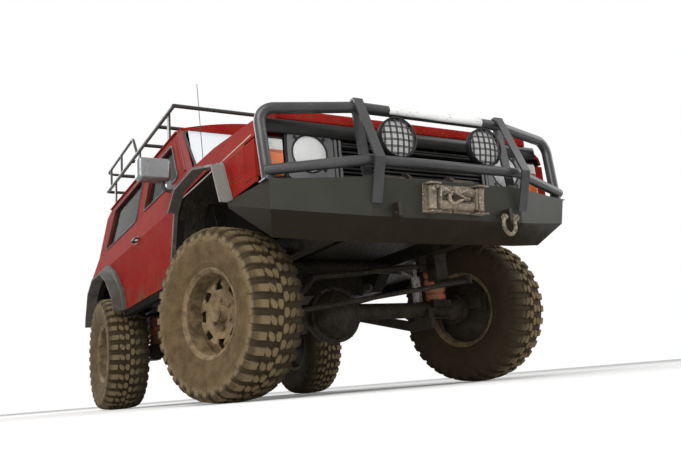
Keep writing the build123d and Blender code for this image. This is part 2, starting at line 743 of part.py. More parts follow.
# Roller fairlead on the bumper face: frame, two long rollers and two upright ones
roller_radius = 21
roller_pitch = 74
roller_depth = 36
with BuildPart() as fairlead:
    with BuildSketch(fairlead_plane):
        Rectangle(fairlead_length, fairlead_height)
        Rectangle(fairlead_opening - 40, 60, mode=Mode.SUBTRACT)
    extrude(amount=9)
    for x in (-fairlead_length / 2 + 6, -fairlead_opening / 2 + 6, fairlead_opening / 2 - 6,
              fairlead_length / 2 - 6):
        with BuildSketch(fairlead_plane):
            with Locations((x, 0)):
                Rectangle(12, fairlead_height)
        extrude(amount=2 * roller_depth - 6)
    for y in (-roller_pitch / 2 - 4, roller_pitch / 2 + 4):
        roller_plane = Plane(
            origin=fairlead_plane.from_local_coords((-fairlead_opening / 2, y, roller_depth)),
            x_dir=(0, 0, 1),
            z_dir=(0, 1, 0),
        )
        with BuildSketch(roller_plane):
            Circle(roller_radius)
        extrude(amount=fairlead_opening)
    for x in both_sides((fairlead_length + fairlead_opening) / 4 - 3):
        post_plane = Plane(
            origin=fairlead_plane.from_local_coords((x, -fairlead_height / 2 + 4, roller_depth)),
            x_dir=(0, 1, 0),
            z_dir=fairlead_plane.y_dir,
        )
        with BuildSketch(post_plane):
            Circle(roller_radius - 2)
        extrude(amount=fairlead_height - 8)
fairlead.part.label = "fairlead"
export_step(fairlead.part, "parts/fairlead.step")

# Winch on its tray between the rails: along Y from the motor to the gear end
tray_z = rail_front_z + rail_height + fit_gap
winch_ahead = 700
winch_z = tray_z + 82
with BuildPart() as winch:
    with Locations((ahead(winch_ahead - 20), 0, tray_z + 4)):
        Box(150, 2 * (rail_y + rail_width / 2), 8)
    # Turned lengths of the winch: from y, to y, radius
    for low_y, high_y, radius in [(-290, -136, 58), (-136, -122, 72), (-122, 122, 40), (122, 136, 72),
                                  (136, 262, 64)]:
        with BuildSketch(Plane.XZ.offset(-low_y)):
            with Locations((ahead(winch_ahead), winch_z)):
                Circle(radius)
        extrude(amount=low_y - high_y)
    for y in both_sides(129):
        with Locations((ahead(winch_ahead), y, tray_z + 30)):
            Box(110, 14, 60)
winch.part.label = "winch"
export_step(winch.part, "parts/winch.step")

# Two round spotlights on the bull bar, each with its stud
with BuildPart() as spotlights:
    for y in both_sides(spot_y):
        with BuildSketch(Plane.XZ.offset(-y)):
            with BuildLine():
                back = ahead(spot_ahead - 46)
                lens_x, lens_r = dome_middle(back + 84, spot_radius - 6, back + 98)
                Polyline(
                    (back + 98, spot_z),
                    (back, spot_z),
                    (back + 4, spot_z + 40),
                    (back + 26, spot_z + 76),
                    (back + 58, spot_z + spot_radius - 4),
                    (back + 62, spot_z + spot_radius),
                    (back + 84, spot_z + spot_radius),
                    (back + 84, spot_z + spot_radius - 6),
                )
                ThreePointArc(
                    (back + 84, spot_z + spot_radius - 6),
                    (lens_x, spot_z + lens_r),
                    (back + 98, spot_z),
                )
            make_face()
        revolve(axis=Axis((0, y, spot_z), (1, 0, 0)))
    for y in both_sides(spot_y):
        with BuildSketch(Plane.XY.offset(spot_tab_z + 3 + fit_gap)):
            with Locations((ahead(spot_ahead + 20), y)):
                Circle(12)
        extrude(amount=spot_z - spot_radius - spot_tab_z + 12)
spotlights.part.label = "spotlights"
export_step(spotlights.part, "parts/spotlights.step")

# Tubular roof rack: rails, crossbars, a raised rail round the rear, legs on the gutters
rack_y = 684
rack_z = 2002
rack_tube = 14
rack_front_ahead = -1140
rack_rear_ahead = tail_ahead - 110
rack_rise = 174
rack_top_z = rack_z + rack_rise
rack_rise_ahead = -2200
with BuildPart() as roof_rack:
    for y in both_sides(rack_y):
        with BuildSketch(Plane.YZ.offset(ahead(rack_rear_ahead))):
            with Locations((y, rack_z)):
                Circle(rack_tube)
        extrude(amount=rack_front_ahead - rack_rear_ahead)
    for bar_ahead in (-1140, -1560, -1980, -2400, -2820, -3350):
        with BuildSketch(Plane.XZ.offset(-rack_y)):
            with Locations((ahead(bar_ahead), rack_z)):
                Circle(rack_tube)
        extrude(amount=2 * rack_y)
    with BuildLine() as rack_line:
        FilletPolyline(
            *tube_corners([(rack_rise_ahead, rack_y, rack_z), (rack_rise_ahead - 130, rack_y, rack_top_z),
                           (rack_rear_ahead, rack_y, rack_top_z)]),
            radius=70,
        )
    with BuildSketch(Plane(origin=rack_line.wire() @ 0, z_dir=rack_line.wire() % 0)):
        Circle(rack_tube - 2)
    sweep(path=rack_line.wire())
    for post_place in (rack_rear_ahead + 590, rack_rear_ahead + 160):
        for y in both_sides(rack_y):
            with Locations((ahead(post_place), y, (rack_z + rack_top_z) / 2)):
                Cylinder(rack_tube - 4, rack_top_z - rack_z)
    for leg_ahead in (-1300, -2150, rack_rear_ahead + 300):
        for side in (-1, 1):
            with Locations((ahead(leg_ahead), side * (gutter_y + 0.5 + 7), (gutter_z + rack_z) / 2)):
                Box(44, 14, rack_z - gutter_z - 2 * fit_gap)
roof_rack.part.label = "roof_rack"
export_step(roof_rack.part, "parts/roof_rack.step")

# Rubber arch flares: a lip that stands out from each arch's edge on a flange against the side.
# Beside the door the front ones are slim, to leave it room to swing.
slim_flare = 22
slim_span = 280
slim_low_z = 690
slim_top_z = 1080
flare_rows = [
    # Arch, lip thickness, how far it stands out, flange width and thickness, lowest height
    (arch_profile, 12, 60, 26, 5, 916),
    (rear_arch_profile, 14, 84, 74, 24, 700),
]
with BuildPart() as arch_flares:
    for profile, lip, reach, flange, flange_thick, low_z in flare_rows:
        for band, depth in [(lip, reach), (flange, flange_thick)]:
            for side in (-1, 1):
                with BuildSketch(Plane.XZ.offset(-side * (side_y + fit_gap))):
                    add(profile)
                    offset(amount=band, kind=Kind.ARC, mode=Mode.REPLACE)
                    add(profile, mode=Mode.SUBTRACT)
                    with Locations((back_x, low_z)):
                        Rectangle(body_length, roof_z, align=(Align.MIN, Align.MIN), mode=Mode.INTERSECT)
                    with Locations((ahead(door_front_ahead), slim_top_z)):
                        Rectangle(slim_span, roof_z, align=(Align.CENTER, Align.MAX), mode=Mode.SUBTRACT)
                extrude(amount=-side * depth)
    for side in (-1, 1):
        with BuildSketch(Plane.XZ.offset(-side * (side_y + fit_gap))):
            add(arch_profile)
            offset(amount=slim_flare, kind=Kind.INTERSECTION, mode=Mode.REPLACE)
            add(arch_profile, mode=Mode.SUBTRACT)
            with Locations((ahead(door_front_ahead), slim_low_z + fit_gap)):
                Rectangle(
                    slim_span,
                    slim_top_z - slim_low_z - 2 * fit_gap,
                    align=(Align.CENTER, Align.MIN),
                    mode=Mode.INTERSECT,
                )
        extrude(amount=-side * slim_flare)
arch_flares.part.label = "arch_flares"
export_step(arch_flares.part, "parts/arch_flares.step")

# Front arch liners: thin sheets inside the fenders along both slopes of each arch
liner_thick = 5
liner_front_low_z = 905
liner_rear_low_z = floor_z + floor_thick + fit_gap
liner_inner_y = apron_y + apron_thick / 2 + fit_gap
post_inner_y = side_y - wall - fit_gap
firewall_clear_y = 694
with BuildPart() as arch_liners:
    for side in (-1, 1):
        with BuildSketch(Plane.XZ.offset(-side * liner_inner_y)):
            add(arch_profile)
            offset(amount=liner_thick, kind=Kind.INTERSECTION, mode=Mode.REPLACE)
            add(arch_profile, mode=Mode.SUBTRACT)
            with Locations((ahead(0), liner_front_low_z)):
                Rectangle(wide, wide, align=(Align.MIN, Align.MAX), mode=Mode.SUBTRACT)
            with Locations((ahead(0), liner_rear_low_z)):
                Rectangle(wide, wide, align=(Align.MAX, Align.MAX), mode=Mode.SUBTRACT)
            with Locations((ahead(0), shelf_z - apron_thick - fit_gap)):
                Rectangle(2 * wide, wide, align=(Align.CENTER, Align.MIN), mode=Mode.SUBTRACT)
        extrude(amount=-side * (side_y - liner_inner_y))
    # Clear of the fender's skin, the door post and the firewall
    extrude(
        body_section(rear_section, fender_skin + fit_gap).moved(Location((cabin_length - 300, 0, 0))),
        amount=1500,
        mode=Mode.INTERSECT,
    )
    for side in (-1, 1):
        with Locations((ahead(post_ahead) + fit_gap, side * post_inner_y, liner_rear_low_z)):
            Box(
                400,
                200,
                wide,
                align=(Align.MAX, Align.MIN if side > 0 else Align.MAX, Align.MIN),
                mode=Mode.SUBTRACT,
            )
    with Locations((ahead(apron_rear_ahead), 0, liner_rear_low_z)):
        Box(400, 2 * firewall_clear_y, wide, align=(Align.MAX, Align.CENTER, Align.MIN), mode=Mode.SUBTRACT)
arch_liners.part.label = "arch_liners"
export_step(arch_liners.part, "parts/arch_liners.step")

# Two front seats and the rear bench, each a padded cushion and a leaning back
cabin_floor = floor_z + floor_thick
with BuildPart() as seats:
    # Middle y, front of the cushion (ahead), width, cushion top
    for seat_y, seat_ahead, seat_width, seat_top in [(-380, -1080, 500, 1085), (380, -1080, 500, 1085),
                                                     (0, -2030, 1080, 1080)]:
        with BuildSketch(Plane.XZ.offset(-seat_y - seat_width / 2)):
            with BuildLine():
                Polyline(
                    (ahead(seat_ahead - 40), cabin_floor + fit_gap),
                    (ahead(seat_ahead - 430), cabin_floor + fit_gap),
                    (ahead(seat_ahead - 450), seat_top - 150),
                    (ahead(seat_ahead - 520), seat_top - 130),
                    (ahead(seat_ahead - 640), seat_top + 480),
                    (ahead(seat_ahead - 560), seat_top + 500),
                    (ahead(seat_ahead - 430), seat_top),
                    (ahead(seat_ahead), seat_top),
                    (ahead(seat_ahead), seat_top - 150),
                    (ahead(seat_ahead - 40), seat_top - 160),
                    close=True,
                )
            make_face()
        extrude(amount=seat_width)
seats.part.label = "seats"
export_step(seats.part, "parts/seats.step")

# Dashboard across the cabin behind the firewall
dash_front = ahead(firewall_ahead) - floor_thick - fit_gap
dash_y = 690
with BuildPart() as dashboard:
    with BuildSketch(Plane.XZ):
        with BuildLine():
            Polyline(
                (dash_front, 1010),
                (dash_front, 1280),
                (dash_front - 200, 1290),
                (dash_front - 300, 1262),
                (dash_front - 330, 1200),
                (dash_front - 270, 1010),
                close=True,
            )
        make_face()
    extrude(amount=dash_y, both=True)
dashboard.part.label = "dashboard"
export_step(dashboard.part, "parts/dashboard.step")

# Steering wheel on its column, left-hand drive
steering_y = 380
wheel_tilt = 62
steering_centre = (dash_front - 430, steering_y, 1190)
wheel_rim_radius = 192
with BuildPart() as steering_wheel:
    column_plane = Plane(
        origin=steering_centre,
        x_dir=(0, 1, 0),
        z_dir=(sin(radians(wheel_tilt)), 0, -cos(radians(wheel_tilt))),
    )
    with Locations(column_plane.location):
        Torus(wheel_rim_radius, 14)
        Cylinder(48, 34)
    for spoke in range(3):
        with Locations(column_plane.location * Location((0, 0, 0), (0, 0, 90 + 120 * spoke))):
            with Locations((wheel_rim_radius / 2, 0, 0)):
                Box(wheel_rim_radius, 26, 12)
    with BuildSketch(column_plane):
        Circle(24)
    extrude(amount=160)
    add(dashboard.part, mode=Mode.SUBTRACT)
steering_wheel.part.label = "steering_wheel"
export_step(steering_wheel.part, "parts/steering_wheel.step")

# Engine, bell housing, gearbox and transfer case as one bolted mass
engine_bottom = rail_front_z - 2 + crossmember_radius + fit_gap
gearbox_y = 105
transfer_y = -205
transfer_z = 590
with BuildPart() as powertrain:
    with Locations((ahead(10), 0, (engine_bottom + 1130) / 2)):
        Box(720, 470, 1130 - engine_bottom)
    with Locations((ahead(-390), 0, 690)):
        Box(150, 400, 260)
    with Locations((ahead(-700), 0, 635)):
        Box(520, 2 * gearbox_y, 130)
    with Locations((ahead(-1140), -75, 615)):
        Box(330, 380, 160)
powertrain.part.label = "powertrain"
export_step(powertrain.part, "parts/powertrain.step")

# Propeller shafts: from the transfer case to the pinion of each axle
front_diff_y = -205
front_diff_z = 405
rear_diff_y = -150
rear_diff_z = 412
pinion_reach = 190
shaft_radius = 30
shaft_solids = []
for start, end in [
    ((ahead(-975), transfer_y, transfer_z), (ahead(-pinion_reach), front_diff_y, front_diff_z)),
    ((rear_x + pinion_reach, rear_diff_y, rear_diff_z), (ahead(-1305), rear_diff_y, transfer_z)),
]:
    line = Vector(*end) - Vector(*start)
    along = line.normalized()
    with BuildSketch(Plane(origin=Vector(*start) - along * 20, z_dir=along)) as shaft_section:
        Circle(shaft_radius)
    with BuildPart() as shaft:
        extrude(shaft_section.sketch, amount=line.length + 40)
        with Locations(((start[0] + end[0]) / 2, start[1], (start[2] + end[2]) / 2)):
            Box(line.X - 2 * fit_gap, 400, 600, mode=Mode.INTERSECT)
    shaft_solids.append(shaft.part)
with BuildPart() as prop_shafts:
    add(shaft_solids)
prop_shafts.part.label = "prop_shafts"
export_step(prop_shafts.part, "parts/prop_shafts.step")

# Live axles: tube, diff housing with its pinion nose, spring perches and arm brackets
tube_radius = 44
diff_radius = 140
arm_y = 405
arm_width = 30
arm_top_z = 369
shock_y = 425
shock_aft = 70
perch_z = hub_z + 52
panhard_axle_y = -440
ball_radius = 72
rear_tube_half = wheel_y - 66 - fit_gap
# Name, axle X, half length of the tube, diff y, diff z, which way the pinion points,
# then further brackets as (ahead of the axle, y, z, length, width, height)
axle_rows = [
    ("front_axle", front_x, kingpin_y, front_diff_y, front_diff_z, -1,
     [(-shock_aft, -shock_y, perch_z - 20, 60, 62, 40), (-shock_aft, shock_y, perch_z - 20, 60, 62, 40),
      (78, panhard_axle_y, 490, 76, 26, 120)]),
    ("rear_axle", rear_x, rear_tube_half, rear_diff_y, rear_diff_z, 1,
     [(-90, -500, 380, 140, 56, 40), (-90, 500, 380, 140, 56, 40),
      (-98, panhard_axle_y, 450, 76, 26, 110)]),
]
for name, axle_x, half_tube, diff_y, diff_z, toward, brackets in axle_rows:
    with BuildPart() as axle:
        with BuildSketch(Plane.XZ.offset(-half_tube)):
            with Locations((axle_x, hub_z)):
                Circle(tube_radius)
        extrude(amount=2 * half_tube)
        with Locations((axle_x - toward * 14, diff_y, diff_z)):
            Sphere(diff_radius)
        with BuildSketch(Plane.YZ.offset(axle_x)):
            with Locations((diff_y, diff_z)):
                Circle(66)
        extrude(amount=toward * (pinion_reach - 40), taper=8)
        with BuildSketch(Plane.YZ.offset(axle_x)):
            with Locations((diff_y, diff_z)):
                Circle(36)
        extrude(amount=toward * pinion_reach)
        for y in both_sides(spring_y):
            with Locations((axle_x, y, perch_z - 20)):
                Box(124, 124, 40)
            # Corner cut off so that the tie rod arm swings past
            with Locations((axle_x - 62, y + (62 if y > 0 else -62), perch_z - 20)):
                Box(40, 40, 44, rotation=(0, 0, 45), mode=Mode.SUBTRACT)
        for y in both_sides(arm_y):
            with Locations((axle_x, y, (arm_top_z + fit_gap + hub_z) / 2)):
                Box(150, arm_width, hub_z - arm_top_z - fit_gap)
        for bracket_ahead, y, z, length, width, height in brackets:
            with Locations((axle_x + bracket_ahead, y, z)):
                Box(length, width, height)
        if name == "front_axle":
            with Locations((axle_x, -kingpin_y, hub_z), (axle_x, kingpin_y, hub_z)):
                Sphere(ball_radius)
    axle.part.label = name
    export_step(axle.part, f"parts/{name}.step")

# Coil springs between the perches and the frame's seats
spring_radius = 60
wire_radius = 8
coil_count = 6
with BuildPart() as springs:
    for axle_x, seat_z in [(front_x, front_seat_z), (rear_x, rear_seat_z)]:
        low_z = perch_z + fit_gap
        high_z = seat_z - fit_gap
        pitch = (high_z - low_z) / coil_count
        for y in both_sides(spring_y):
            with BuildSketch(Plane.XZ.offset(-y)):
                with BuildLine():
                    start = (axle_x + spring_radius - wire_radius, low_z)
                    for coil in range(coil_count):
                        z = low_z + coil * pitch
                        coil_arc = ThreePointArc(
                            (axle_x + spring_radius - wire_radius, z),
                            (axle_x + spring_radius, z + pitch / 2),
                            (axle_x + spring_radius - wire_radius, z + pitch),
                        )
                    Polyline(
                        (axle_x + spring_radius - wire_radius, high_z),
                        (axle_x + spring_radius - 2 * wire_radius, high_z),
                        (axle_x + spring_radius - 2 * wire_radius, low_z),
                        (axle_x + spring_radius - wire_radius, low_z),
                    )
                make_face()
            revolve(axis=Axis((axle_x, y, 0), (0, 0, 1)))
springs.part.label = "springs"
export_step(springs.part, "parts/springs.step")

# Shock absorbers: place (X, y), low end, high end
shock_radius = 27
rod_radius = 11
with BuildPart() as shocks:
    for shock_x, y, low_z, high_z in [
        (front_x - shock_aft, shock_y, perch_z + fit_gap, rail_front_z - fit_gap),
        (rear_x - 130, 500, 400 + fit_gap, rear_seat_z - fit_gap),
    ]:
        for side_place in both_sides(y):
            with BuildSketch(Plane.XY.offset(low_z)):
                with Locations((shock_x, side_place)):
                    Circle(shock_radius)
            extrude(amount=(high_z - low_z) * 0.62)
            with BuildSketch(Plane.XY.offset(low_z)):
                with Locations((shock_x, side_place)):
                    Circle(rod_radius)
            extrude(amount=high_z - low_z)
shocks.part.label = "shocks"
export_step(shocks.part, "parts/shocks.step")

# Radius arms ahead, trailing arms behind, and the two panhard rods
rod_size = 15
with BuildPart() as links:
    for side in (-1, 1):
        with BuildSketch(Plane.XZ.offset(-side * arm_y - arm_width / 2)):
            with BuildLine():
                Polyline(
                    (ahead(90), arm_top_z - 56),
                    (ahead(90), arm_top_z),
                    (ahead(-110), arm_top_z),
                    (ahead(-825) + fit_gap, 520),
                    (ahead(-825) + fit_gap, 464),
                    (ahead(-110), arm_top_z - 56),
                    close=True,
                )
            make_face()
        extrude(amount=arm_width)
        with BuildSketch(Plane.XZ.offset(-side * arm_y - arm_width / 2)):
            with BuildLine():
                Polyline(
                    (rear_x - 90, arm_top_z - 50),
                    (rear_x - 90, arm_top_z),
                    (rear_x + 110, arm_top_z),
                    (ahead(-1625 - fit_gap), 540),
                    (ahead(-1625 - fit_gap), 490),
                    (rear_x + 110, arm_top_z - 50),
                    close=True,
                )
            make_face()
        extrude(amount=arm_width)
    # Panhard rods: place along the length, then points as (y, z)
    for rod_x, points in [
        (front_x + panhard_ahead, [(panhard_axle_y + 13 + fit_gap, 526), (-402, 526), (-340, 600),
                                   (-60, 624), (270, 660), (panhard_frame_y - fit_gap, 660)]),
        (rear_x - rear_panhard_aft, [(panhard_axle_y + 13 + fit_gap, 480), (-395, 480), (285, 660),
                                     (panhard_frame_y - fit_gap, 660)]),
    ]:
        with BuildLine() as rod_line:
            FilletPolyline(*[(rod_x, y, z) for y, z in points], radius=22)
        with BuildSketch(Plane(origin=rod_line.wire() @ 0, z_dir=rod_line.wire() % 0)):
            Circle(rod_size)
        sweep(path=rod_line.wire())
links.part.label = "links"
export_step(links.part, "parts/links.step")

# Wheels: rims with their brake discs and hubs, and tyres. Name, centre, turn about Z.
spare_x = back_x - spare_gap - tyre_width / 2
steer = radians(rest_steer)
hub_offset = wheel_y - kingpin_y
disc_thick = 8
barrel_radius = 203
flange_in = 104
bead_gap = 0.4
lug_count = 18
lug_length = 74
lug_height = 13
tread_middle = 150
brake_radius = 150
wheel_table = [
    ("fr", (front_x + hub_offset * sin(steer), -kingpin_y - hub_offset * cos(steer), hub_z), rest_steer, -1),
    ("fl", (front_x - hub_offset * sin(steer), kingpin_y + hub_offset * cos(steer), hub_z), rest_steer, 1),
    ("rr", (rear_x, -wheel_y, hub_z), 0, -1),
    ("rl", (rear_x, wheel_y, hub_z), 0, 1),
    ("spare", (spare_x, spare_y, spare_z), 90, 1),
]
for name, centre, turn, side in wheel_table:
    outward = Vector(-side * sin(radians(turn)), side * cos(radians(turn)), 0)
    forward = Vector(cos(radians(turn)), sin(radians(turn)), 0)
    # Half section: local x is the radius, local y runs outboard along the axle
    half_section = Plane(origin=centre, x_dir=forward, z_dir=forward.cross(outward))
    wheel_axis = Axis(centre, outward)
    face_plane = Plane(origin=centre, x_dir=forward, z_dir=outward)
    spare = name == "spare"
    with BuildPart() as rim:
        with BuildSketch(half_section):
            with BuildLine():
                Polyline(
                    (rim_radius, rim_width / 2),
                    (rim_radius, flange_in),
                    (barrel_radius, flange_in),
                    (barrel_radius, -flange_in),
                    (rim_radius, -flange_in),
                    (rim_radius, -rim_width / 2),
                    (rim_radius - 6, -rim_width / 2),
                    (barrel_radius - 6, -flange_in + 2),
                    (barrel_radius - 6, disc_face - 20),
                    (150, disc_face + 22),
                    (90, disc_face),
                    (42, disc_face),
                    (42, disc_face + disc_thick),
                    (86, disc_face + disc_thick),
                    (146, disc_face + 22 + disc_thick),
                    (barrel_radius - 6, disc_face),
                    (barrel_radius - 6, flange_in - 2),
                    (rim_radius - 6, rim_width / 2),
                    close=True,
                )
            make_face()
        revolve(axis=wheel_axis)
        with BuildSketch(face_plane.offset(disc_face - 30)):
            with PolarLocations(146, 8):
                Trapezoid(62, 52, 72, rotation=-90)
        extrude(amount=80, mode=Mode.SUBTRACT)
        if not spare:
            with BuildSketch(face_plane.offset(-66)):
                Circle(60)
            extrude(amount=66 + disc_face)
            with BuildSketch(face_plane.offset(-66)):
                Circle(brake_radius)
            extrude(amount=18)
            with BuildSketch(face_plane.offset(disc_face - 4)):
                Circle(41)
            extrude(amount=58, taper=4)
    rim.part.label = f"rim_{name}"
    export_step(rim.part, f"parts/rim_{name}.step")

    with BuildPart() as tyre:
        with BuildSketch(half_section):
            with BuildLine():
                Polyline(
                    (barrel_radius + bead_gap, -flange_in + bead_gap),
                    (barrel_radius + bead_gap, flange_in - bead_gap),
                    (rim_radius + bead_gap, flange_in - bead_gap),
                    (rim_radius + 2, rim_width / 2),
                    (252, 137),
                    (318, tyre_width / 2),
                    (384, tyre_width / 2 - 4),
                    (tyre_radius - lug_height, tyre_width / 2 - 18),
                    (tyre_radius, tread_middle / 2),
                    (tyre_radius, -tread_middle / 2),
                    (tyre_radius - lug_height, -tyre_width / 2 + 18),
                    (384, -tyre_width / 2 + 4),
                    (318, -tyre_width / 2),
                    (252, -137),
                    (rim_radius + 2, -rim_width / 2),
                    (rim_radius + bead_gap, -flange_in + bead_gap),
                    close=True,
                )
            make_face()
        revolve(axis=wheel_axis)
        # Shoulder lugs: each a wedge as seen across the tread, in two rows half a pitch apart
        for row in (-1, 1):
            with BuildSketch(half_section):
                with BuildLine():
                    Polyline(
                        (384, row * (tyre_width / 2 - 12)),
                        (386, row * (tyre_width / 2 - 1)),
                        (412, row * (tyre_width / 2 - 4)),
                        (tyre_radius - 1.5, row * (tyre_width / 2 - 20)),
                        (tyre_radius - 1.5, row * tread_middle / 2),
                        (tyre_radius - 2 * lug_height, row * tread_middle / 2),
                        close=True,
                    )
                make_face()
            lug = extrude(amount=lug_length / 2, both=True, mode=Mode.PRIVATE)
            lug_turns = [(pitch + (row + 1) / 4) * 360 / lug_count for pitch in range(lug_count)]
            add([lug.rotate(wheel_axis, lug_turn) for lug_turn in lug_turns])
    tyre.part.label = f"tyre_{name}"
    export_step(tyre.part, f"parts/tyre_{name}.step")

# Steering knuckles on the axle's balls, with spindle, brake caliper and steering arms
cup_inner = ball_radius + 1
cup_outer = 92
arm_reach = 170
drag_reach = 200
tie_arm_z = 456
drag_arm_z = 388
eye_radius = 20
hub_back = 66
for name, side in [("right", -1), ("left", 1)]:
    pivot = Location((front_x, side * kingpin_y, hub_z), (0, 0, rest_steer))
    # Half section of the cup: local x runs outboard from the ball's centre, local y is the radius
    rest_turn = Vector(-side * sin(steer), side * cos(steer), 0)
    cup_plane = Plane(origin=pivot.position, x_dir=rest_turn, z_dir=rest_turn.cross(Vector(0, 0, 1)))
    cup_lip = -12
    with BuildPart() as knuckle:
        with BuildSketch(cup_plane):
            with BuildLine():
                RadiusArc((cup_lip, sqrt(cup_inner**2 - cup_lip**2)), (cup_inner, 0), cup_inner)
                Line((cup_inner, 0), (cup_outer, 0))
                RadiusArc((cup_outer, 0), (cup_lip, sqrt(cup_outer**2 - cup_lip**2)), -cup_outer)
                Line((cup_lip, sqrt(cup_outer**2 - cup_lip**2)), (cup_lip, sqrt(cup_inner**2 - cup_lip**2)))
            make_face()
        revolve(axis=Axis(pivot.position, rest_turn))
        spindle_end = hub_offset - hub_back - fit_gap
        arm_root = 84
        with Locations(pivot):
            with Locations((-(arm_reach + eye_radius + arm_root) / 2, 0, tie_arm_z - 8 - hub_z)):
                Box(arm_reach + eye_radius - arm_root, 34, 16)
            if side < 0:
                with Locations(((drag_reach + eye_radius + arm_root) / 2, 0, drag_arm_z - 8 - hub_z)):
                    Box(drag_reach + eye_radius - arm_root, 34, 16)
            # Caliper astride the brake disc, carried by a bracket from the cup
            with Locations((127, side * (hub_offset - 57), 30)):
                Box(86, 68, 110)
            with Locations((0, side * (hub_offset - hub_back + 9), 0)):
                Cylinder(brake_radius + 6, 30, rotation=(90, 0, 0), mode=Mode.SUBTRACT)
            with Locations((0, side * (spindle_end + cup_outer - 12) / 2, 0)):
                Cylinder(44, spindle_end - cup_outer + 12, rotation=(90, 0, 0))
            with Locations((96, side * (hub_offset - 98), 30)):
                Box(100, 32, 70)
    knuckle.part.label = f"knuckle_{name}"
    export_step(knuckle.part, f"parts/knuckle_{name}.step")

# Tie rod behind the axle between the two steering arms
tie_back = Vector(-arm_reach * cos(steer), -arm_reach * sin(steer), 0)
eye_height = 30
tie_z = tie_arm_z + fit_gap + eye_height / 2
with BuildPart() as tie_rod:
    with BuildSketch(Plane.XZ.offset(-(tie_back.Y - kingpin_y))):
        with Locations((front_x + tie_back.X, tie_z)):
            Circle(14)
    extrude(amount=-2 * kingpin_y)
    with Locations(*[(front_x + tie_back.X, y + tie_back.Y, tie_z) for y in both_sides(kingpin_y)]):
        Cylinder(eye_radius, eye_height)
tie_rod.part.label = "tie_rod"
export_step(tie_rod.part, "parts/tie_rod.step")

# Pitman arm below the steering box and the drag link down to the right knuckle
drag_lead = Vector(drag_reach * cos(steer), drag_reach * sin(steer), 0)
pitman_thick = 16
with BuildPart() as pitman_arm:
    pitman_middle = (pitman_place.X, pitman_place.Y, pitman_z + pitman_thick / 2)
    with Locations(Location(pitman_middle, (0, 0, rest_steer))):
        with Locations((drag_reach / 2, 0, 0)):
            Box(drag_reach, 32, pitman_thick)
        with Locations((0, 0, 0), (drag_reach, 0, 0)):
            Cylinder(24, pitman_thick)
pitman_arm.part.label = "pitman_arm"
export_step(pitman_arm.part, "parts/pitman_arm.step")

drag_low = Vector(front_x, -kingpin_y, drag_arm_z + fit_gap + eye_height / 2) + drag_lead
drag_high = Vector(pitman_place.X, pitman_place.Y, pitman_z - fit_gap - eye_height / 2) + drag_lead
with BuildPart() as drag_link:
    drag_line = drag_high - drag_low
    with BuildSketch(Plane(origin=drag_low, z_dir=drag_line.normalized())):
        Circle(13)
    extrude(amount=drag_line.length)
    with Locations(drag_low, drag_high):
        Cylinder(eye_radius, eye_height)
drag_link.part.label = "drag_link"
export_step(drag_link.part, "parts/drag_link.step")

# Exhaust pipe with its silencer, hung below the crossmembers on the left
pipe_radius = 26
pipe_y = 250
pipe_z = 617
with BuildPart() as exhaust:
    with BuildLine() as pipe_line:
        FilletPolyline(
            (ahead(-340), 200 + fit_gap, pipe_z),
            (ahead(-340), pipe_y + 30, pipe_z),
            (ahead(-700), pipe_y, pipe_z - pipe_radius - fit_gap),
            (ahead(-3000), pipe_y, pipe_z - pipe_radius - fit_gap),
            (ahead(-3240), pipe_y + 60, pipe_z - pipe_radius - 60),
            radius=45,
        )
    with BuildSketch(Plane(origin=pipe_line.wire() @ 0, z_dir=pipe_line.wire() % 0)):
        Circle(pipe_radius)
    sweep(path=pipe_line.wire())
    with Locations((ahead(-1560), pipe_y, pipe_z - pipe_radius - fit_gap)):
        Cylinder(68, 340, rotation=(0, 90, 0))
exhaust.part.label = "exhaust"
export_step(exhaust.part, "parts/exhaust.step")

# Fuel tank under the rear floor between the rails
tank_height = 250
with BuildPart() as fuel_tank:
    with Locations((rear_x - 460, -100, floor_z - fit_gap - tank_height / 2)):
        Box(440, 480, tank_height)
    fillet(fuel_tank.edges().filter_by(Axis.Z), 50)
fuel_tank.part.label = "fuel_tank"
export_step(fuel_tank.part, "parts/fuel_tank.step")

# Rear bumper: a steel beam on the rail ends, with the tow pin bracket in its middle
rear_bumper_front = ahead(rail_rear_ahead) - fit_gap
with BuildPart() as rear_bumper:
    with Locations((rear_bumper_front - 55, 0, rail_mid_z + 44)):
        Box(110, 1640, 108)
    with Locations((rear_bumper_front - 130, 0, rail_mid_z)):
        Box(60, 60, 24)
    with Locations((rear_bumper_front - 136, 0, rail_mid_z)):
        Cylinder(13, 60, mode=Mode.SUBTRACT)
rear_bumper.part.label = "rear_bumper"
export_step(rear_bumper.part, "parts/rear_bumper.step")
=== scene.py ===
import bmesh
import bpy
import math
from mathutils import Matrix, Vector


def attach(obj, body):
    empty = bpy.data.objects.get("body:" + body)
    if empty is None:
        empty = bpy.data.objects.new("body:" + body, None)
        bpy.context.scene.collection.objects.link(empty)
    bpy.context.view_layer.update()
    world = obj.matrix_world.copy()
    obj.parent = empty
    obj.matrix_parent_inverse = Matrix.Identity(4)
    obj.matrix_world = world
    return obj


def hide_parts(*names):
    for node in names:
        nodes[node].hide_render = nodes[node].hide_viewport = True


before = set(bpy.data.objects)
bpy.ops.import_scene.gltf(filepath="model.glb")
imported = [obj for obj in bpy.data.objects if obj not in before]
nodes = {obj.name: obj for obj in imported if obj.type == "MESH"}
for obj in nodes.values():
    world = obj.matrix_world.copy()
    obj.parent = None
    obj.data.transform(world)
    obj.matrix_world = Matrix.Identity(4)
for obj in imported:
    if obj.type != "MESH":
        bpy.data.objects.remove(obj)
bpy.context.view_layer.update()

# Studio: a pale floor, a white surround that glass and metal also see, and soft lamps.
# The camera is at floor level, ahead of the car and to its right, and looks up at it.
scene = bpy.context.scene
scene.view_settings.view_transform = "Standard"


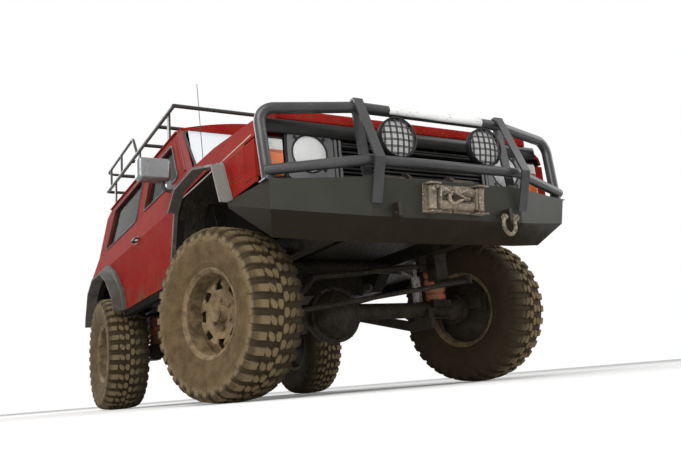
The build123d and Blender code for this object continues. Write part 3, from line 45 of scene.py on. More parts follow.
def wire(tree, kind, inputs=None, **settings):
    """A new node with its settings, whose inputs are values or sockets of other nodes."""
    node = tree.nodes.new(kind)
    for key, value in settings.items():
        setattr(node, key, value)
    for key, value in (inputs or {}).items():
        if isinstance(value, bpy.types.NodeSocket):
            tree.links.new(value, node.inputs[key])
        else:
            node.inputs[key].default_value = value
    return node


floor_mesh = bpy.data.meshes.new("floor_sheet")
floor_mesh.from_pydata([(-60, -60, 0), (60, -60, 0), (60, 60, 0), (-60, 60, 0)], [], [(0, 1, 2, 3)])
floor_sheet = bpy.data.objects.new("floor_sheet", floor_mesh)
scene.collection.objects.link(floor_sheet)
floor_finish = bpy.data.materials.new("pale floor")
floor_finish.use_nodes = True
floor_tree = floor_finish.node_tree
floor_shader = floor_tree.nodes["Principled BSDF"]
floor_shader.inputs["Roughness"].default_value = 0.9
floor_noise = wire(floor_tree, "ShaderNodeTexNoise", {"Scale": 1.5, "Detail": 4.0})
floor_mix = wire(floor_tree, "ShaderNodeMix", {0: floor_noise.outputs[0]}, data_type="RGBA")
floor_mix.inputs[6].default_value = (0.80, 0.79, 0.77, 1)
floor_mix.inputs[7].default_value = (0.84, 0.83, 0.81, 1)
floor_tree.links.new(floor_mix.outputs[2], floor_shader.inputs["Base Color"])
floor_mesh.materials.append(floor_finish)

surround = bpy.data.worlds.new("white surround")
scene.world = surround
surround.use_nodes = True
sky_tree = surround.node_tree
sky_tree.nodes.clear()
ray = wire(sky_tree, "ShaderNodeLightPath")
seen = wire(sky_tree, "ShaderNodeMath",
            {0: ray.outputs["Is Camera Ray"], 1: ray.outputs["Is Transmission Ray"]},
            operation="MAXIMUM")
shiny = wire(sky_tree, "ShaderNodeMath", {0: seen.outputs[0], 1: ray.outputs["Is Glossy Ray"]},
             operation="MAXIMUM")
plain_light = wire(sky_tree, "ShaderNodeBackground", {"Color": (0.95, 0.97, 1.0, 1), "Strength": 0.62})
white_light = wire(sky_tree, "ShaderNodeBackground", {"Color": (1, 1, 1, 1), "Strength": 1.0})
sky_mix = wire(sky_tree, "ShaderNodeMixShader", {0: shiny.outputs[0], 1: plain_light.outputs[0],
                                                2: white_light.outputs[0]})
wire(sky_tree, "ShaderNodeOutputWorld", {"Surface": sky_mix.outputs[0]})

# Each lamp: name, place, what it points at, side of its square, power
for lamp_name, lamp_place, lamp_target, lamp_side, lamp_power in [
    ("key_lamp", (5.5, -4.5, 5.5), (0.6, -0.2, 0.8), 5.0, 420),
    ("left_lamp", (4.0, 6.0, 3.5), (0.6, 0.2, 0.8), 5.0, 160),
    ("low_lamp", (5.5, -2.5, 0.7), (1.0, 0.0, 0.5), 2.5, 40),
    ("rear_lamp", (-6.0, -3.0, 5.0), (0, 0, 1), 5.0, 260),
]:
    lamp_data = bpy.data.lights.new(lamp_name, "AREA")
    lamp_data.size = lamp_side
    lamp_data.energy = lamp_power
    lamp = bpy.data.objects.new(lamp_name, lamp_data)
    lamp.location = lamp_place
    aim = Vector(lamp_target) - Vector(lamp_place)
    lamp.rotation_euler = aim.to_track_quat("-Z", "Y").to_euler()
    scene.collection.objects.link(lamp)

camera_data = bpy.data.cameras.new("camera")
camera_data.lens = 38.1
camera_data.sensor_width = 36.0
camera_data.clip_start = 0.02
camera = bpy.data.objects.new("camera", camera_data)
looking = Vector((-0.8431, 0.4788, 0.2150)).normalized()
upright = Vector((0.252, -0.049, 0.966))
across = looking.cross(upright).normalized()
upright = across.cross(looking)
camera.matrix_world = Matrix((
    (across.x, upright.x, -looking.x, 4.741),
    (across.y, upright.y, -looking.y, -2.038),
    (across.z, upright.z, -looking.z, 0.035),
    (0, 0, 0, 1),
))
scene.collection.objects.link(camera)
scene.camera = camera

# Road mud: a shared effect for every finish. It hides what is low, and it spatters what is higher.
# Mask is 1 where mud covers the finish, and Height is its crust for a Bump node. Fade, Scuff and Damp are
# patches of faded paint, of scratches and of wet mud.
mud_group = bpy.data.node_groups.new("road mud", "ShaderNodeTree")
for socket_name, socket_start in [("Top", 0.6), ("Spread", 0.5), ("Spatter", 0.2), ("Wear", 0.3)]:
    socket = mud_group.interface.new_socket(socket_name, in_out="INPUT", socket_type="NodeSocketFloat")
    socket.default_value = socket_start
for socket_name in ("Mask", "Height", "Fade", "Scuff", "Damp"):
    mud_group.interface.new_socket(socket_name, in_out="OUTPUT", socket_type="NodeSocketFloat")
mud_in = wire(mud_group, "NodeGroupInput")
mud_place = wire(mud_group, "ShaderNodeTexCoord").outputs["Object"]
mud_height = wire(mud_group, "ShaderNodeSeparateXYZ", {0: mud_place}).outputs[2]
patches = wire(mud_group, "ShaderNodeTexNoise", {"Vector": mud_place, "Scale": 5.0, "Detail": 8.0,
                                                 "Roughness": 0.62})
drops = wire(mud_group, "ShaderNodeTexNoise", {"Vector": mud_place, "Scale": 62.0, "Detail": 5.0,
                                               "Roughness": 0.7})
grit = wire(mud_group, "ShaderNodeTexNoise", {"Vector": mud_place, "Scale": 260.0, "Detail": 3.0})
ragged = wire(mud_group, "ShaderNodeMath", {0: patches.outputs[0], 1: 0.5}, operation="SUBTRACT")
ragged = wire(mud_group, "ShaderNodeMath", {0: ragged.outputs[0], 1: 3.2}, operation="MULTIPLY")
ragged = wire(mud_group, "ShaderNodeMath", {0: ragged.outputs[0], 1: mud_in.outputs["Spread"]},
              operation="MULTIPLY")
depth = wire(mud_group, "ShaderNodeMath", {0: mud_in.outputs["Top"], 1: mud_height}, operation="SUBTRACT")
depth = wire(mud_group, "ShaderNodeMath", {0: depth.outputs[0], 1: ragged.outputs[0]}, operation="ADD")
depth = wire(mud_group, "ShaderNodeMath", {0: depth.outputs[0], 1: mud_in.outputs["Spread"]},
             operation="DIVIDE")
coat_mask = wire(mud_group, "ShaderNodeMapRange", {0: depth.outputs[0], 1: -0.5, 2: 1.0},
                 interpolation_type="SMOOTHSTEP")
drop_line = wire(mud_group, "ShaderNodeMath", {0: 0.72, 1: mud_in.outputs["Spatter"]}, operation="SUBTRACT")
drop_rise = wire(mud_group, "ShaderNodeMath", {0: drops.outputs[0], 1: drop_line.outputs[0]},
                 operation="SUBTRACT")
drop_mask = wire(mud_group, "ShaderNodeMapRange", {0: drop_rise.outputs[0], 1: 0.0, 2: 0.05})
film = wire(mud_group, "ShaderNodeMath", {0: patches.outputs[0], 1: mud_in.outputs["Spatter"]},
            operation="MULTIPLY")
drop_mask = wire(mud_group, "ShaderNodeMath", {0: drop_mask.outputs[0], 1: film.outputs[0]},
                 operation="MAXIMUM")
mud_mask = wire(mud_group, "ShaderNodeMath", {0: coat_mask.outputs[0], 1: drop_mask.outputs[0]},
                operation="MAXIMUM", use_clamp=True)
crust = wire(mud_group, "ShaderNodeMath", {0: drops.outputs[0], 1: grit.outputs[0]}, operation="ADD")
crust = wire(mud_group, "ShaderNodeMath", {0: crust.outputs[0], 1: mud_mask.outputs[0]}, operation="MULTIPLY")
scratch_place = wire(mud_group, "ShaderNodeMapping", {"Vector": mud_place, "Scale": (4.0, 9.0, 40.0)})
scratches = wire(mud_group, "ShaderNodeTexNoise", {"Vector": scratch_place.outputs[0], "Scale": 6.0,
                                                   "Detail": 9.0, "Roughness": 0.75})
scuff_line = wire(mud_group, "ShaderNodeMath", {0: 0.78, 1: mud_in.outputs["Wear"]}, operation="SUBTRACT")
scuff_rise = wire(mud_group, "ShaderNodeMath", {0: scratches.outputs[0], 1: scuff_line.outputs[0]},
                  operation="SUBTRACT")
scuffs = wire(mud_group, "ShaderNodeMapRange", {0: scuff_rise.outputs[0], 1: 0.0, 2: 0.09})
blots = wire(mud_group, "ShaderNodeTexNoise", {"Vector": mud_place, "Scale": 17.0, "Detail": 7.0,
                                               "Roughness": 0.66})
damp = wire(mud_group, "ShaderNodeMapRange", {0: blots.outputs[0], 1: 0.38, 2: 0.60})
wire(mud_group, "NodeGroupOutput", {"Mask": mud_mask.outputs[0], "Height": crust.outputs[0],
                                    "Fade": patches.outputs[0], "Scuff": scuffs.outputs[0],
                                    "Damp": damp.outputs[0]})


def dirty_finish(name, clean, faded, roughness, metallic=0.0, coat=0.0, mud=(0.185, 0.135, 0.075),
                 top=0.6, spread=0.4, spatter=0.1, wear=0.15, worn=(0.25, 0.24, 0.22), relief=0.3,
                 specular=0.5, mud_rough=0.93, damp=0.5):
    """A finish that fades from clean to faded in patches, scuffs to worn, and carries road mud."""
    material = bpy.data.materials.new(name)
    material.use_nodes = True
    tree = material.node_tree
    shader = tree.nodes["Principled BSDF"]
    cover = wire(tree, "ShaderNodeGroup", node_tree=mud_group)
    for key, value in (("Top", top), ("Spread", spread), ("Spatter", spatter), ("Wear", wear)):
        cover.inputs[key].default_value = value
    fade = wire(tree, "ShaderNodeMapRange", {0: cover.outputs["Fade"], 1: 0.35, 2: 0.68})
    wet = wire(tree, "ShaderNodeMix", {0: cover.outputs["Damp"]}, data_type="RGBA")
    wet.inputs[6].default_value = (mud[0] * damp, mud[1] * damp * 0.97, mud[2] * damp * 0.92, 1)
    wet.inputs[7].default_value = (mud[0] * 1.12, mud[1] * 1.12, mud[2] * 1.12, 1)
    shades = []
    for fraction, first, second in [(fade.outputs[0], clean, faded), (cover.outputs["Scuff"], None, worn),
                                    (cover.outputs["Mask"], None, mud)]:
        shade = wire(tree, "ShaderNodeMix", {0: fraction}, data_type="RGBA")
        if first is None:
            tree.links.new(shades[-1].outputs[2], shade.inputs[6])
        else:
            shade.inputs[6].default_value = (*first, 1)
        shade.inputs[7].default_value = (*second, 1)
        shades.append(shade)
    tree.links.new(wet.outputs[2], shades[-1].inputs[7])
    tree.links.new(shades[-1].outputs[2], shader.inputs["Base Color"])
    dull = wire(tree, "ShaderNodeMapRange", {0: cover.outputs["Mask"], 3: roughness, 4: mud_rough})
    shader.inputs["Specular IOR Level"].default_value = specular
    tree.links.new(dull.outputs[0], shader.inputs["Roughness"])
    if metallic > 0:
        bare = wire(tree, "ShaderNodeMapRange", {0: cover.outputs["Mask"], 3: metallic, 4: 0.0})
        tree.links.new(bare.outputs[0], shader.inputs["Metallic"])
    if coat > 0:
        gloss = wire(tree, "ShaderNodeMapRange", {0: cover.outputs["Mask"], 3: coat, 4: 0.0})
        tree.links.new(gloss.outputs[0], shader.inputs["Coat Weight"])
        shader.inputs["Coat Roughness"].default_value = 0.12
    crust = wire(tree, "ShaderNodeBump", {"Strength": relief, "Distance": 0.004,
                                          "Height": cover.outputs["Height"]})
    tree.links.new(crust.outputs[0], shader.inputs["Normal"])
    return material


def dress(names, material):
    """Gives CAD pieces a finish in place of the plain one that they come with."""
    for node_name in names:
        mesh = nodes[node_name].data
        mesh.materials.clear()
        mesh.materials.append(material)


# Body panels: pressed steel in a red paint that has faded and carries spatter, low down a coat of mud.
# Hood, fenders, side bodies, roof, doors and the cowl between hood and screen are separate pressings.
red_paint = dirty_finish("faded red paint", (0.215, 0.0060, 0.0060), (0.255, 0.0150, 0.0120), 0.40,
                         mud=(0.110, 0.062, 0.034), top=0.72, spread=0.30, spatter=0.15, wear=0.04,
                         worn=(0.36, 0.14, 0.12), relief=0.10)
red_tree = red_paint.node_tree
red_shader = red_tree.nodes["Principled BSDF"]
red_colour = red_shader.inputs["Base Color"].links[0].from_socket
panel_frame = wire(red_tree, "ShaderNodeTexCoord")
panel_place = wire(red_tree, "ShaderNodeSeparateXYZ", {0: panel_frame.outputs["Object"]})
panel_facing = wire(red_tree, "ShaderNodeSeparateXYZ", {0: panel_frame.outputs["Normal"]})


def red_math(operation, first, second):
    """One step of arithmetic in the red paint."""
    return wire(red_tree, "ShaderNodeMath", {0: first, 1: second}, operation=operation).outputs[0]


# Near-black covers faces that look inwards or towards the nearer axle, the sill's band, the
# fenders' feet behind the bumper and the inner wings. It is black underseal in part, and painted
# shade on the faces that sit inside the body, in the arches and behind the bumper
axles_middle_x = 0.121
half_wheelbase = 1.2
axle_z = 0.425
arch_reach_squared = 0.82
sill_top_z = 0.702
fender_foot_x = 1.45
fender_foot_z = 0.912
inner_wing_y = 0.64
inner_wing_x = 0.75
inner_wing_z = 1.16
halfway = red_math("SUBTRACT", panel_place.outputs[0], axles_middle_x)
end_sign = red_math("SIGN", halfway, 0.0)
from_axle = red_math("SUBTRACT", red_math("ABSOLUTE", halfway, 0.0), half_wheelbase)
above_axle = red_math("SUBTRACT", panel_place.outputs[2], axle_z)
facing_x = red_math("MULTIPLY", panel_facing.outputs[0], end_sign)
towards_axle = red_math("ADD", red_math("MULTIPLY", from_axle, facing_x),
                        red_math("MULTIPLY", above_axle, panel_facing.outputs[2]))
facing_out = red_math("MULTIPLY", panel_facing.outputs[1],
                      red_math("SIGN", panel_place.outputs[1], 0.0))
near_axle = red_math("ADD", red_math("MULTIPLY", from_axle, from_axle),
                     red_math("MULTIPLY", above_axle, above_axle))
behind_bumper = red_math("MULTIPLY", red_math("GREATER_THAN", panel_place.outputs[0], fender_foot_x),
                         red_math("LESS_THAN", panel_place.outputs[2], fender_foot_z))
inner_wing = red_math("LESS_THAN", red_math("ABSOLUTE", panel_place.outputs[1], 0.0), inner_wing_y)
inner_wing = red_math("MULTIPLY", inner_wing, red_math("GREATER_THAN", panel_place.outputs[0], inner_wing_x))
inner_wing = red_math("MULTIPLY", inner_wing, red_math("LESS_THAN", panel_place.outputs[2], inner_wing_z))
underseal_and_shade = red_math("MULTIPLY", red_math("LESS_THAN", near_axle, arch_reach_squared),
                  red_math("GREATER_THAN", -0.28, towards_axle))
for mask in (red_math("GREATER_THAN", -0.3, facing_out),
             red_math("LESS_THAN", panel_place.outputs[2], sill_top_z), behind_bumper, inner_wing):
    underseal_and_shade = red_math("MAXIMUM", underseal_and_shade, mask)
# Painted shade with underseal: where the mask is 1 the red gives way to near-black
underseal_and_shade_colour = wire(red_tree, "ShaderNodeMix", {0: underseal_and_shade, 6: red_colour}, data_type="RGBA")
underseal_and_shade_colour.inputs[7].default_value = (0.012, 0.011, 0.010, 1)
red_tree.links.new(underseal_and_shade_colour.outputs[2], red_shader.inputs["Base Color"])
# Painted sheen: faces that look up keep the paint's reflection of the sky, upright faces lose nearly all of
# it
sheen_by_facing = wire(red_tree, "ShaderNodeMapRange",
              {0: panel_facing.outputs[2], 1: 0.50, 2: 0.85, 3: 0.002, 4: 0.50})
red_tree.links.new(sheen_by_facing.outputs[0], red_shader.inputs["Specular IOR Level"])
dress(["hood", "front_fenders", "body_sides", "rear_quarters", "roof", "door_left", "door_right",
       "rear_door_large", "rear_door_small", "cowl"], red_paint)

# Glazing: tempered panes under dust, bonded in rubber. Side, quarter and rear panes are smoke grey. The
# windscreen is clear; a pale colour, less transmission and a higher IOR on it are a painted reflection of the
# sky.
clear_glass = bpy.data.materials.new("dusty clear glass with painted screen glare")
clear_glass.use_nodes = True
glass_tree = clear_glass.node_tree
glass_shader = glass_tree.nodes["Principled BSDF"]
glass_dust = wire(glass_tree, "ShaderNodeGroup", node_tree=mud_group)
for key, value in (("Top", 0.2), ("Spread", 0.4), ("Spatter", 0.06)):
    glass_dust.inputs[key].default_value = value
glass_colour = wire(glass_tree, "ShaderNodeMix", {0: glass_dust.outputs["Mask"]}, data_type="RGBA")
glass_colour.inputs[6].default_value = (0.055, 0.060, 0.050, 1)
glass_colour.inputs[7].default_value = (0.12, 0.105, 0.075, 1)
glass_rough = wire(glass_tree, "ShaderNodeMapRange", {0: glass_dust.outputs["Mask"], 3: 0.05, 4: 0.6})
glass_tree.links.new(glass_rough.outputs[0], glass_shader.inputs["Roughness"])
dress(["fixed_glass", "door_glass_left", "door_glass_right", "rear_glass_large", "rear_glass_small"],
      clear_glass)
glass_frame = wire(glass_tree, "ShaderNodeTexCoord").outputs["Normal"]
glass_facing = wire(glass_tree, "ShaderNodeSeparateXYZ", {0: glass_frame})
ahead_facing = wire(glass_tree, "ShaderNodeMath", {0: glass_facing.outputs[0]}, operation="ABSOLUTE")
up_facing = wire(glass_tree, "ShaderNodeMath", {0: glass_facing.outputs[2]}, operation="ABSOLUTE")
screen_mask = wire(glass_tree, "ShaderNodeMath", {0: ahead_facing.outputs[0], 1: up_facing.outputs[0]},
                   operation="MULTIPLY")
screen_mask = wire(glass_tree, "ShaderNodeMapRange", {0: screen_mask.outputs[0], 1: 0.15, 2: 0.25})
# Painted reflection: the windscreen's pale colour stands in for the sky reflected in it
screen_sky_glare = wire(glass_tree, "ShaderNodeMix", {0: screen_mask.outputs[0], 6: glass_colour.outputs[2]},
                   data_type="RGBA")
screen_sky_glare.inputs[7].default_value = (0.86, 0.89, 0.91, 1)
glass_tree.links.new(screen_sky_glare.outputs[2], glass_shader.inputs["Base Color"])
screen_glare_transmission = wire(glass_tree, "ShaderNodeMapRange", {0: screen_mask.outputs[0], 3: 0.80, 4: 0.28})
glass_tree.links.new(screen_glare_transmission.outputs[0], glass_shader.inputs["Transmission Weight"])
screen_glare_ior = wire(glass_tree, "ShaderNodeMapRange", {0: screen_mask.outputs[0], 3: 1.015, 4: 1.35})
glass_tree.links.new(screen_glare_ior.outputs[0], glass_shader.inputs["IOR"])

# Chassis, axles and steering: black-painted steel under a thick coat of dried mud. Its mud is darkened
# well below the mud elsewhere: painted shade under the car.
under_steel = dirty_finish("muddy chassis steel in painted shade", (0.007, 0.0065, 0.006), (0.014, 0.012, 0.010), 0.42,
                           metallic=0.2, mud=(0.034, 0.025, 0.014), top=0.50, spread=0.5, spatter=0.25,
                           wear=0.15, worn=(0.08, 0.07, 0.06), relief=0.6, specular=0.2, mud_rough=0.65)
dress(["frame", "floor", "front_axle", "rear_axle", "knuckle_left", "knuckle_right", "links", "tie_rod",
       "drag_link", "pitman_arm", "prop_shafts", "fuel_tank", "radiator", "powertrain", "exhaust",
       "rear_bumper", "arch_liners"], under_steel)

# Coil springs in dusty orange paint, and the shock absorbers beside them in light grey.
spring_paint = dirty_finish("dusty orange spring paint", (0.42, 0.085, 0.03), (0.32, 0.08, 0.04), 0.5,
                            mud=(0.20, 0.14, 0.08), top=0.5, spread=0.5, spatter=0.22, wear=0.2,
                            worn=(0.18, 0.10, 0.07), relief=0.4)
dress(["springs"], spring_paint)
shock_paint = dirty_finish("light grey shock absorber paint", (0.42, 0.42, 0.41), (0.33, 0.32, 0.30), 0.42,
                           mud=(0.20, 0.15, 0.09), top=0.45, spread=0.5, spatter=0.2, wear=0.2,
                           relief=0.4)
dress(["shocks"], shock_paint)

# Wheels: pressed steel discs in wide rims, one to each hub and one on the rear door, coated in tan mud.
rim_steel = dirty_finish("mud coated wheel steel", (0.030, 0.024, 0.018), (0.06, 0.045, 0.028), 0.5,
                         metallic=0.3, mud=(0.175, 0.122, 0.062), top=0.45, spread=1.4, spatter=0.5,
                         wear=0.2, worn=(0.24, 0.2, 0.15), relief=0.4, specular=0.3, mud_rough=0.7, damp=0.42)
dress(["rim_fl", "rim_fr", "rim_rl", "rim_rr", "rim_spare"], rim_steel)

# Each wheel: name, body that it turns with, its centre, the way its outer face looks, how far it has rolled.
wheel_rows = [
    ("fr", "wheel_fr", (1.3757, -0.8038, 0.425), (0.29237, -0.95630, 0), 4),
    ("fl", "wheel_fl", (1.2663, 0.8038, 0.425), (-0.29237, 0.95630, 0), 11),
    ("rr", "wheel_rr", (-1.079, -0.812, 0.425), (0, -1, 0), 7),
    ("rl", "wheel_rl", (-1.079, 0.812, 0.425), (0, 1, 0), 15),
    ("spare", "rear_door_large", (-2.131, -0.222, 1.152), (-1, 0, 0), 0),
]


def wheel_place(centre, outward, rolled):
    """Matrix from a wheel's own frame, with Y outwards along its axle, to the car's frame."""
    axle = Vector(outward).normalized()
    up = Vector((0, 0, 1))
    fore = axle.cross(up)
    turn = Matrix((
        (fore.x, axle.x, up.x, centre[0]),
        (fore.y, axle.y, up.y, centre[1]),
        (fore.z, axle.z, up.z, centre[2]),
        (0, 0, 0, 1),
    ))
    return turn @ Matrix.Rotation(math.radians(rolled), 4, "Y")


def shell(verts, faces):
    """A mesh from corners and faces, with its normals turned outwards."""
    mesh = bpy.data.meshes.new("shell")
    mesh.from_pydata([tuple(v) for v in verts], [], faces)
    form = bmesh.new()
    form.from_mesh(mesh)
    bmesh.ops.remove_doubles(form, verts=form.verts, dist=0.00002)
    bmesh.ops.recalc_face_normals(form, faces=form.faces)
    form.to_mesh(mesh)
    form.free()
    return mesh


def turned(profile, count=48):
    """A closed profile of (along, radius) turned round the Y axis."""
    verts = []
    faces = []
    size = len(profile)
    for step in range(count):
        angle = 2 * math.pi * step / count
        for along, radius in profile:
            verts.append((radius * math.cos(angle), along, radius * math.sin(angle)))
        for i in range(size):
            a = step * size + i
            b = step * size + (i + 1) % size
            c = ((step + 1) % count) * size + (i + 1) % size
            d = ((step + 1) % count) * size + i
            faces.append((a, b, c, d))
    return shell(verts, faces)


def joined(meshes):
    """Several meshes as one."""
    form = bmesh.new()
    for mesh in meshes:
        form.from_mesh(mesh)
    whole = bpy.data.meshes.new("joined")
    form.to_mesh(whole)
    form.free()
    return whole


def fitted(name, mesh, material, body, place=None, bevel=0.0, steps=1, replaced=()):
    """A finished piece: its mesh in the car's frame, its finish, and the body that carries it."""
    if place is not None:
        mesh.transform(place)
    mesh.materials.clear()
    mesh.materials.append(material)
    piece = bpy.data.objects.new(name, mesh)
    scene.collection.objects.link(piece)
    if bevel > 0:
        rounding = piece.modifiers.new("rounded edges", "BEVEL")
        rounding.width = bevel
        rounding.segments = steps
        rounding.limit_method = "ANGLE"
        rounding.angle_limit = math.radians(35)
        rounding.harden_normals = False
    mesh.shade_smooth()
    mesh.set_sharp_from_angle(angle=math.radians(38))
    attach(piece, body)
    if replaced:
        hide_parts(*replaced)
    return piece


# What repeats round an axle is one pitch, set out by this tree and made one mesh.
ring_tree = bpy.data.node_groups.new("set out round the axle", "GeometryNodeTree")
ring_tree.interface.new_socket("Pitch", in_out="INPUT", socket_type="NodeSocketGeometry")
ring_tree.interface.new_socket("Count", in_out="INPUT", socket_type="NodeSocketInt")
ring_tree.interface.new_socket("Finish", in_out="INPUT", socket_type="NodeSocketMaterial")
ring_tree.interface.new_socket("Ring", in_out="OUTPUT", socket_type="NodeSocketGeometry")
ring_in = wire(ring_tree, "NodeGroupInput")
ring_spots = wire(ring_tree, "GeometryNodeMeshLine", {"Count": ring_in.outputs["Count"], "Offset": (0, 0, 0)})
ring_step = wire(ring_tree, "ShaderNodeMath", {0: 2 * math.pi, 1: ring_in.outputs["Count"]},
                 operation="DIVIDE")
ring_index = wire(ring_tree, "GeometryNodeInputIndex")
ring_angle = wire(ring_tree, "ShaderNodeMath", {0: ring_index.outputs[0], 1: ring_step.outputs[0]},
                  operation="MULTIPLY")
ring_turn = wire(ring_tree, "ShaderNodeCombineXYZ", {"Y": ring_angle.outputs[0]})
ring_set = wire(ring_tree, "GeometryNodeInstanceOnPoints", {
    "Points": ring_spots.outputs[0], "Instance": ring_in.outputs["Pitch"], "Rotation": ring_turn.outputs[0]})
ring_real = wire(ring_tree, "GeometryNodeRealizeInstances", {0: ring_set.outputs[0]})
ring_finish = wire(ring_tree, "GeometryNodeSetMaterial", {
    "Geometry": ring_real.outputs[0], "Material": ring_in.outputs["Finish"]})
wire(ring_tree, "NodeGroupOutput", {"Ring": ring_finish.outputs[0]})


def set_out(mesh, tree, **values):
    """The mesh that a tree makes of one pitch, with the tree's named inputs set."""
    holder = bpy.data.objects.new("pitch", mesh)
    scene.collection.objects.link(holder)
    repeat = holder.modifiers.new("repeat", "NODES")
    repeat.node_group = tree
    for item in tree.interface.items_tree:
        if item.item_type == "SOCKET" and item.in_out == "INPUT" and item.name in values:
            repeat[item.identifier] = values[item.name]
    graph = bpy.context.evaluated_depsgraph_get()
    result = bpy.data.meshes.new_from_object(holder.evaluated_get(graph), depsgraph=graph)
    bpy.data.objects.remove(holder)
    return result


# Tyres: wide mud-terrain tyres of moulded rubber. Blocks in two staggered rows run round the middle,
# and deep lugs, long and short in turn, wrap over each shoulder on to the sidewall.
tyre_rubber = dirty_finish("mud coated tyre rubber", (0.030, 0.025, 0.019), (0.060, 0.048, 0.032), 0.85,
                           mud=(0.104, 0.071, 0.034), top=0.30, spread=2.2, spatter=0.5, wear=0.0,
                           relief=0.6, specular=0.12, mud_rough=0.8, damp=0.68)
tyre_tree = tyre_rubber.node_tree
tyre_shader = tyre_tree.nodes["Principled BSDF"]
tan_mud = tyre_shader.inputs["Base Color"].links[0].from_socket
# Painted shade and light: grooves and the inner side are darkened, raised faces on the outer side lightened
tread_shade = wire(tyre_tree, "ShaderNodeAttribute", attribute_name="tread_shade")
lug_light = wire(tyre_tree, "ShaderNodeAttribute", attribute_name="lug_light")
lit_tyre_mud = wire(tyre_tree, "ShaderNodeMix", {0: lug_light.outputs["Fac"], 6: tan_mud}, data_type="RGBA")
lit_tyre_mud.inputs[7].default_value = (0.235, 0.182, 0.105, 1)
shaded_tyre_mud = wire(tyre_tree, "ShaderNodeMix", {0: tread_shade.outputs["Fac"], 6: lit_tyre_mud.outputs[2]},
               data_type="RGBA")
shaded_tyre_mud.inputs[7].default_value = (0.024, 0.018, 0.011, 1)
tyre_tree.links.new(shaded_tyre_mud.outputs[2], tyre_shader.inputs["Base Color"])
tread_pitches = 18
carcass_half = [(0.000, 0.4105), (0.060, 0.4095), (0.105, 0.4060), (0.130, 0.3985), (0.1415, 0.3860),
                (0.1465, 0.3660), (0.1480, 0.3400), (0.1462, 0.3150), (0.1405, 0.2880), (0.1310, 0.2620),
                (0.1255, 0.2500), (0.1262, 0.2440), (0.1220, 0.2385), (0.1180, 0.2290), (0.1160, 0.2235)]
inner_half = [(0.1080, 0.2235), (0.1100, 0.2400), (0.1240, 0.2800), (0.1280, 0.3400), (0.1180, 0.3850),
              (0.0000, 0.3950)]
carcass = turned(
    [(-a, r) for a, r in reversed(carcass_half[1:])] + carcass_half
    + inner_half + [(-a, r) for a, r in reversed(inner_half[:-1])], 72)


def crown(across):
    """Radius of the tread's top over the tyre's width."""
    return 0.4250 - 0.0105 * (abs(across) / 0.13) ** 2.6


def block(outline, depth=0.0145, draft=0.86):
    """A tread block: its outline as (across, along the tread) on top of the crown."""
    middle_a = sum(a for a, s in outline) / len(outline)
    middle_s = sum(s for a, s in outline) / len(outline)
    rings = []
    for scale, sink in ((1.06, depth), (1.0, 0.004), (draft, 0.0)):
        ring = []
        for a, s in outline:
            a = middle_a + (a - middle_a) * scale
            s = middle_s + (s - middle_s) * scale
            radius = crown(a) - sink
            ring.append((radius * math.cos(s / 0.425), a, radius * math.sin(s / 0.425)))
        rings.append(ring)
    count = len(outline)
    faces = [tuple(range(count)), tuple(range(2 * count, 3 * count))]
    for level in (0, 1):
        for i in range(count):
            j = (i + 1) % count
            faces.append((level * count + i, level * count + j, (level + 1) * count + j,
                          (level + 1) * count + i))
    return shell([v for ring in rings for v in ring], faces)


def shoulder_lug(side, start, end, inner, reach):
    """A lug over the shoulder: it starts at inner across the tread and wraps down to radius reach."""
    outer = [(inner, crown(inner)), (0.118, crown(0.118)), (0.1375, 0.4080), (0.1485, 0.3950),
             (0.1500, 0.3800), (0.1495, reach)]
    under = [(inner, 0.4080), (0.112, 0.4020), (0.1280, 0.3950), (0.1380, 0.3850), (0.1440, 0.3720),
             (0.1455, reach - 0.004)]
    verts = []
    for s, grow in ((start, 1.0), (end, 1.0)):
        inward = 0.0045 if s == start else -0.0045
        for a, r in outer:
            angle = (s + inward) / 0.425
            verts.append((r * math.cos(angle), side * a, r * math.sin(angle)))
        for a, r in reversed(under):
            angle = (s - inward * 0.4) / 0.425
            verts.append((r * math.cos(angle), side * a, r * math.sin(angle)))
    count = len(outer) * 2
    faces = [tuple(range(count)), tuple(range(count, 2 * count))]
    for i in range(count):
        j = (i + 1) % count
        faces.append((i, j, count + j, count + i))
    return shell(verts, faces)


pitch_arc = 2 * math.pi * 0.425 / tread_pitches
tread_blocks = []
for side in (-1, 1):
    for part in (0, 1):
        shift = part * pitch_arc / 2 + (pitch_arc / 4 if side > 0 else 0)
        tread_blocks.append(shoulder_lug(side, shift - 0.0215, shift + 0.0215,
                                         0.078 if part else 0.088, 0.352 if part else 0.366))
        tread_blocks.append(block([(side * a, shift + s) for a, s in [
            (0.046, -0.012), (0.071, -0.026), (0.079, -0.004), (0.066, 0.020), (0.042, 0.026),
            (0.036, 0.008)]]))
        tread_blocks.append(block([(side * a, shift + s + 0.010) for a, s in [
            (0.003, -0.030), (0.026, -0.034), (0.037, -0.014), (0.029, 0.010), (0.010, 0.018),
            (0.002, 0.000)]]))
tread_pitch = joined(tread_blocks)
for wheel, body, centre, outward, rolled in wheel_rows:
    tread = set_out(tread_pitch.copy(), ring_tree, Count=tread_pitches, Finish=tyre_rubber)
    tyre_form = joined([carcass, tread])
    shade_row = tyre_form.attributes.new("tread_shade", "FLOAT", "POINT")
    light_row = tyre_form.attributes.new("lug_light", "FLOAT", "POINT")
    # Painted shade in the grooves and on the inner side, painted light on raised faces away from the inner
    # side
    for vertex, shade_entry, light_entry in zip(tyre_form.vertices, shade_row.data, light_row.data):
        across = vertex.co.y
        radius = math.hypot(vertex.co.x, vertex.co.z)
        top = crown(across) if abs(across) < 0.13 else 0.4145 - (abs(across) - 0.13) * 0.3
        groove = min(1.0, max(0.0, (top - 0.001 - radius) / 0.010)) if radius > 0.385 else 0.0
        shade_entry.value = max(groove * 0.75, min(1.0, max(0.0, (-0.02 - across) / 0.09)) * 0.80)
        edge = radius > 0.36 and (groove < 0.1 or abs(across) > 0.1475)
        light_entry.value = 0.45 if edge and across > -0.10 else 0.0
    fitted(f"mud_tyre_{wheel}", tyre_form, tyre_rubber, body,
           place=wheel_place(centre, outward, rolled), replaced=[f"tyre_{wheel}"])
